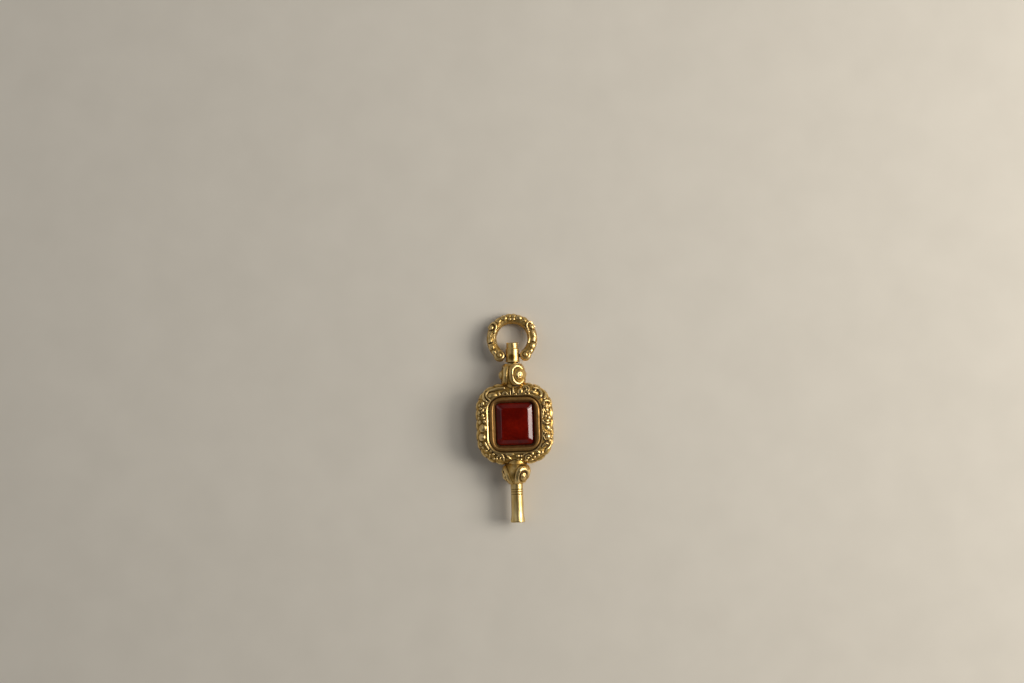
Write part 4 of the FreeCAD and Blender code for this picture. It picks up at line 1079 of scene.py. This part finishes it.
def bow_relief(along, around, limb):
    """Height over the plain tube. along is millimetres from the ring's side towards its top, around is
    the angle from the outer side towards the front, and limb is 1 right, -1 left."""
    across = BOW_TUBE * (around - radians(BOW_FACE))
    spots = np.stack([along, across], -1)
    height = np.zeros(along.shape)
    for place, side, half_length, half_width, rise, lean in BOW_BUDS:
        a, b = along - radians(place) * BOW_RADIUS, across - side
        turn = radians(lean)
        u = (a * cos(turn) + b * sin(turn)) / half_length
        v = (b * cos(turn) - a * sin(turn)) / half_width
        height = np.maximum(height, rise * rounded(np.hypot(u, v), 1.0))
    for half_width, rise, knots in BOW_RIDGES:
        height = np.maximum(height, rise * bow_line(spots, knots, half_width))
    for half_width, depth, knots in BOW_GROOVES:
        height -= depth * bow_line(spots, knots, half_width)
    lines = HATCHING[1] * np.sin(2 * pi * (along + 0.8 * across) / HATCHING[0])
    band = rounded(np.hypot(along - 0.75, across - 0.2), 0.95) * np.where(limb < 0, 1.0, 0.5)
    return height + lines * band


def bow_half(name, node, side):
    """The front (side 1) or back (side -1) half of the hollow ring."""
    gap = degrees(atan2(TERMINAL_OFFSET, BOW_OFFSET))
    turn = np.radians(np.linspace(-90 + gap - END_TUCK, 270 - gap + END_TUCK, BOW_GRID[0]))
    around = np.linspace(0, pi, BOW_GRID[1])
    turn_grid, around_grid = np.meshgrid(turn, around, indexing="ij")
    limb = np.where(np.cos(turn_grid) > 0, 1, -1)
    from_side = np.where(limb > 0, turn_grid, pi - turn_grid) * BOW_RADIUS
    height = bow_relief(from_side, around_grid, limb)
    outward = np.stack([np.cos(turn_grid), np.sin(turn_grid), np.zeros_like(turn_grid)], -1)
    normal = outward * np.cos(around_grid)[..., None]
    normal[..., 2] = np.sin(around_grid) * side
    middle = outward * BOW_RADIUS + np.array([0.0, BOW_OFFSET, 0.0])
    height = (height - BOW_SINK) * np.clip(np.sin(around_grid) / 0.15, 0.25, 1)
    height = height + BOW_UNEVEN[0] * hand_noise(middle + normal, BOW_UNEVEN[1], 51)
    outer = drooped(middle + normal * (BOW_TUBE + height)[..., None])
    outer[..., 2] = np.maximum(outer[..., 2], -collet_high[2] + REST_GAP)
    inner = drooped(middle + normal * (BOW_TUBE - WALL))
    piece = sheet_piece(name, outer, inner, False, repousse_gold, recess_patina_and_shade(height, False))
    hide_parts(node)
    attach(piece, "bow")


def terminal(name, node, side):
    """Rolled end of the bow: a ball with a raised ring and a boss on its front and its back."""
    turns = np.linspace(0, 2 * pi, TERMINAL_GRID[0], endpoint=False)
    tilt = np.linspace(0.03, pi - 0.03, TERMINAL_GRID[1])
    turn_grid, tilt_grid = np.meshgrid(turns, tilt, indexing="ij")
    from_pole = np.minimum(tilt_grid, pi - tilt_grid)
    place, half_width, rise = RAISED_RING
    height = rise * rounded(np.abs(from_pole - radians(place)), radians(half_width))
    height = np.maximum(height, FRONT_BOSS[1] * rounded(from_pole, radians(FRONT_BOSS[0])))
    for place, width, depth in SUNK_RINGS:
        height -= depth * np.exp(-((from_pole - radians(place)) / radians(width)) ** 2)
    way = np.stack([np.sin(tilt_grid) * np.cos(turn_grid), np.sin(tilt_grid) * np.sin(turn_grid),
                    np.cos(tilt_grid)], -1)
    points = way * (TERMINAL_RADIUS - BOW_SINK + height)[..., None]
    points[..., 0] += side * TERMINAL_OFFSET
    points[..., 0] = side * np.maximum(points[..., 0] * side, TERMINAL_FACE)
    piece = closed_grid(name, drooped(points), repousse_gold, recess_patina_and_shade(height, True), 50)
    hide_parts(node)
    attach(piece, "bow")


bow_half("bow_front", "bow_front_shell", 1)
bow_half("bow_back", "bow_back_shell", -1)
terminal("left_terminal", "bow_terminal_left", -1)
terminal("right_terminal", "bow_terminal_right", 1)


# Inside: a turned brass spine with its washer, bush and collar, the riveted stud of the swivel, and
# the dark cement that fills the body and beds the stones. None of it shows on a whole key.

# Drawn brass, turned and left as it came off the tool: half bright and hardly uneven.
turned_brass = mottled("turned_brass", 0.2 * MM, 2.0, ("#8A6A2C", "#C2A052"),
                       {"Roughness": 0.38, "Metallic": 1.0})[0]
finish_nodes(turned_brass, "spine_rod", "spine_washer", "lower_knop_bush", "pipe_collar", "swivel_stud",
             "swivel_washer")

# Shellac filled with brick dust: matt, brown and gritty.
stone_cement = mottled("stone_cement", 0.15 * MM, 4.0, ("#3B2A1E", "#6A5340"), {"Roughness": 0.85})[0]
finish_nodes(stone_cement, "body_filler", "front_stone_bed", "back_stone_bed")
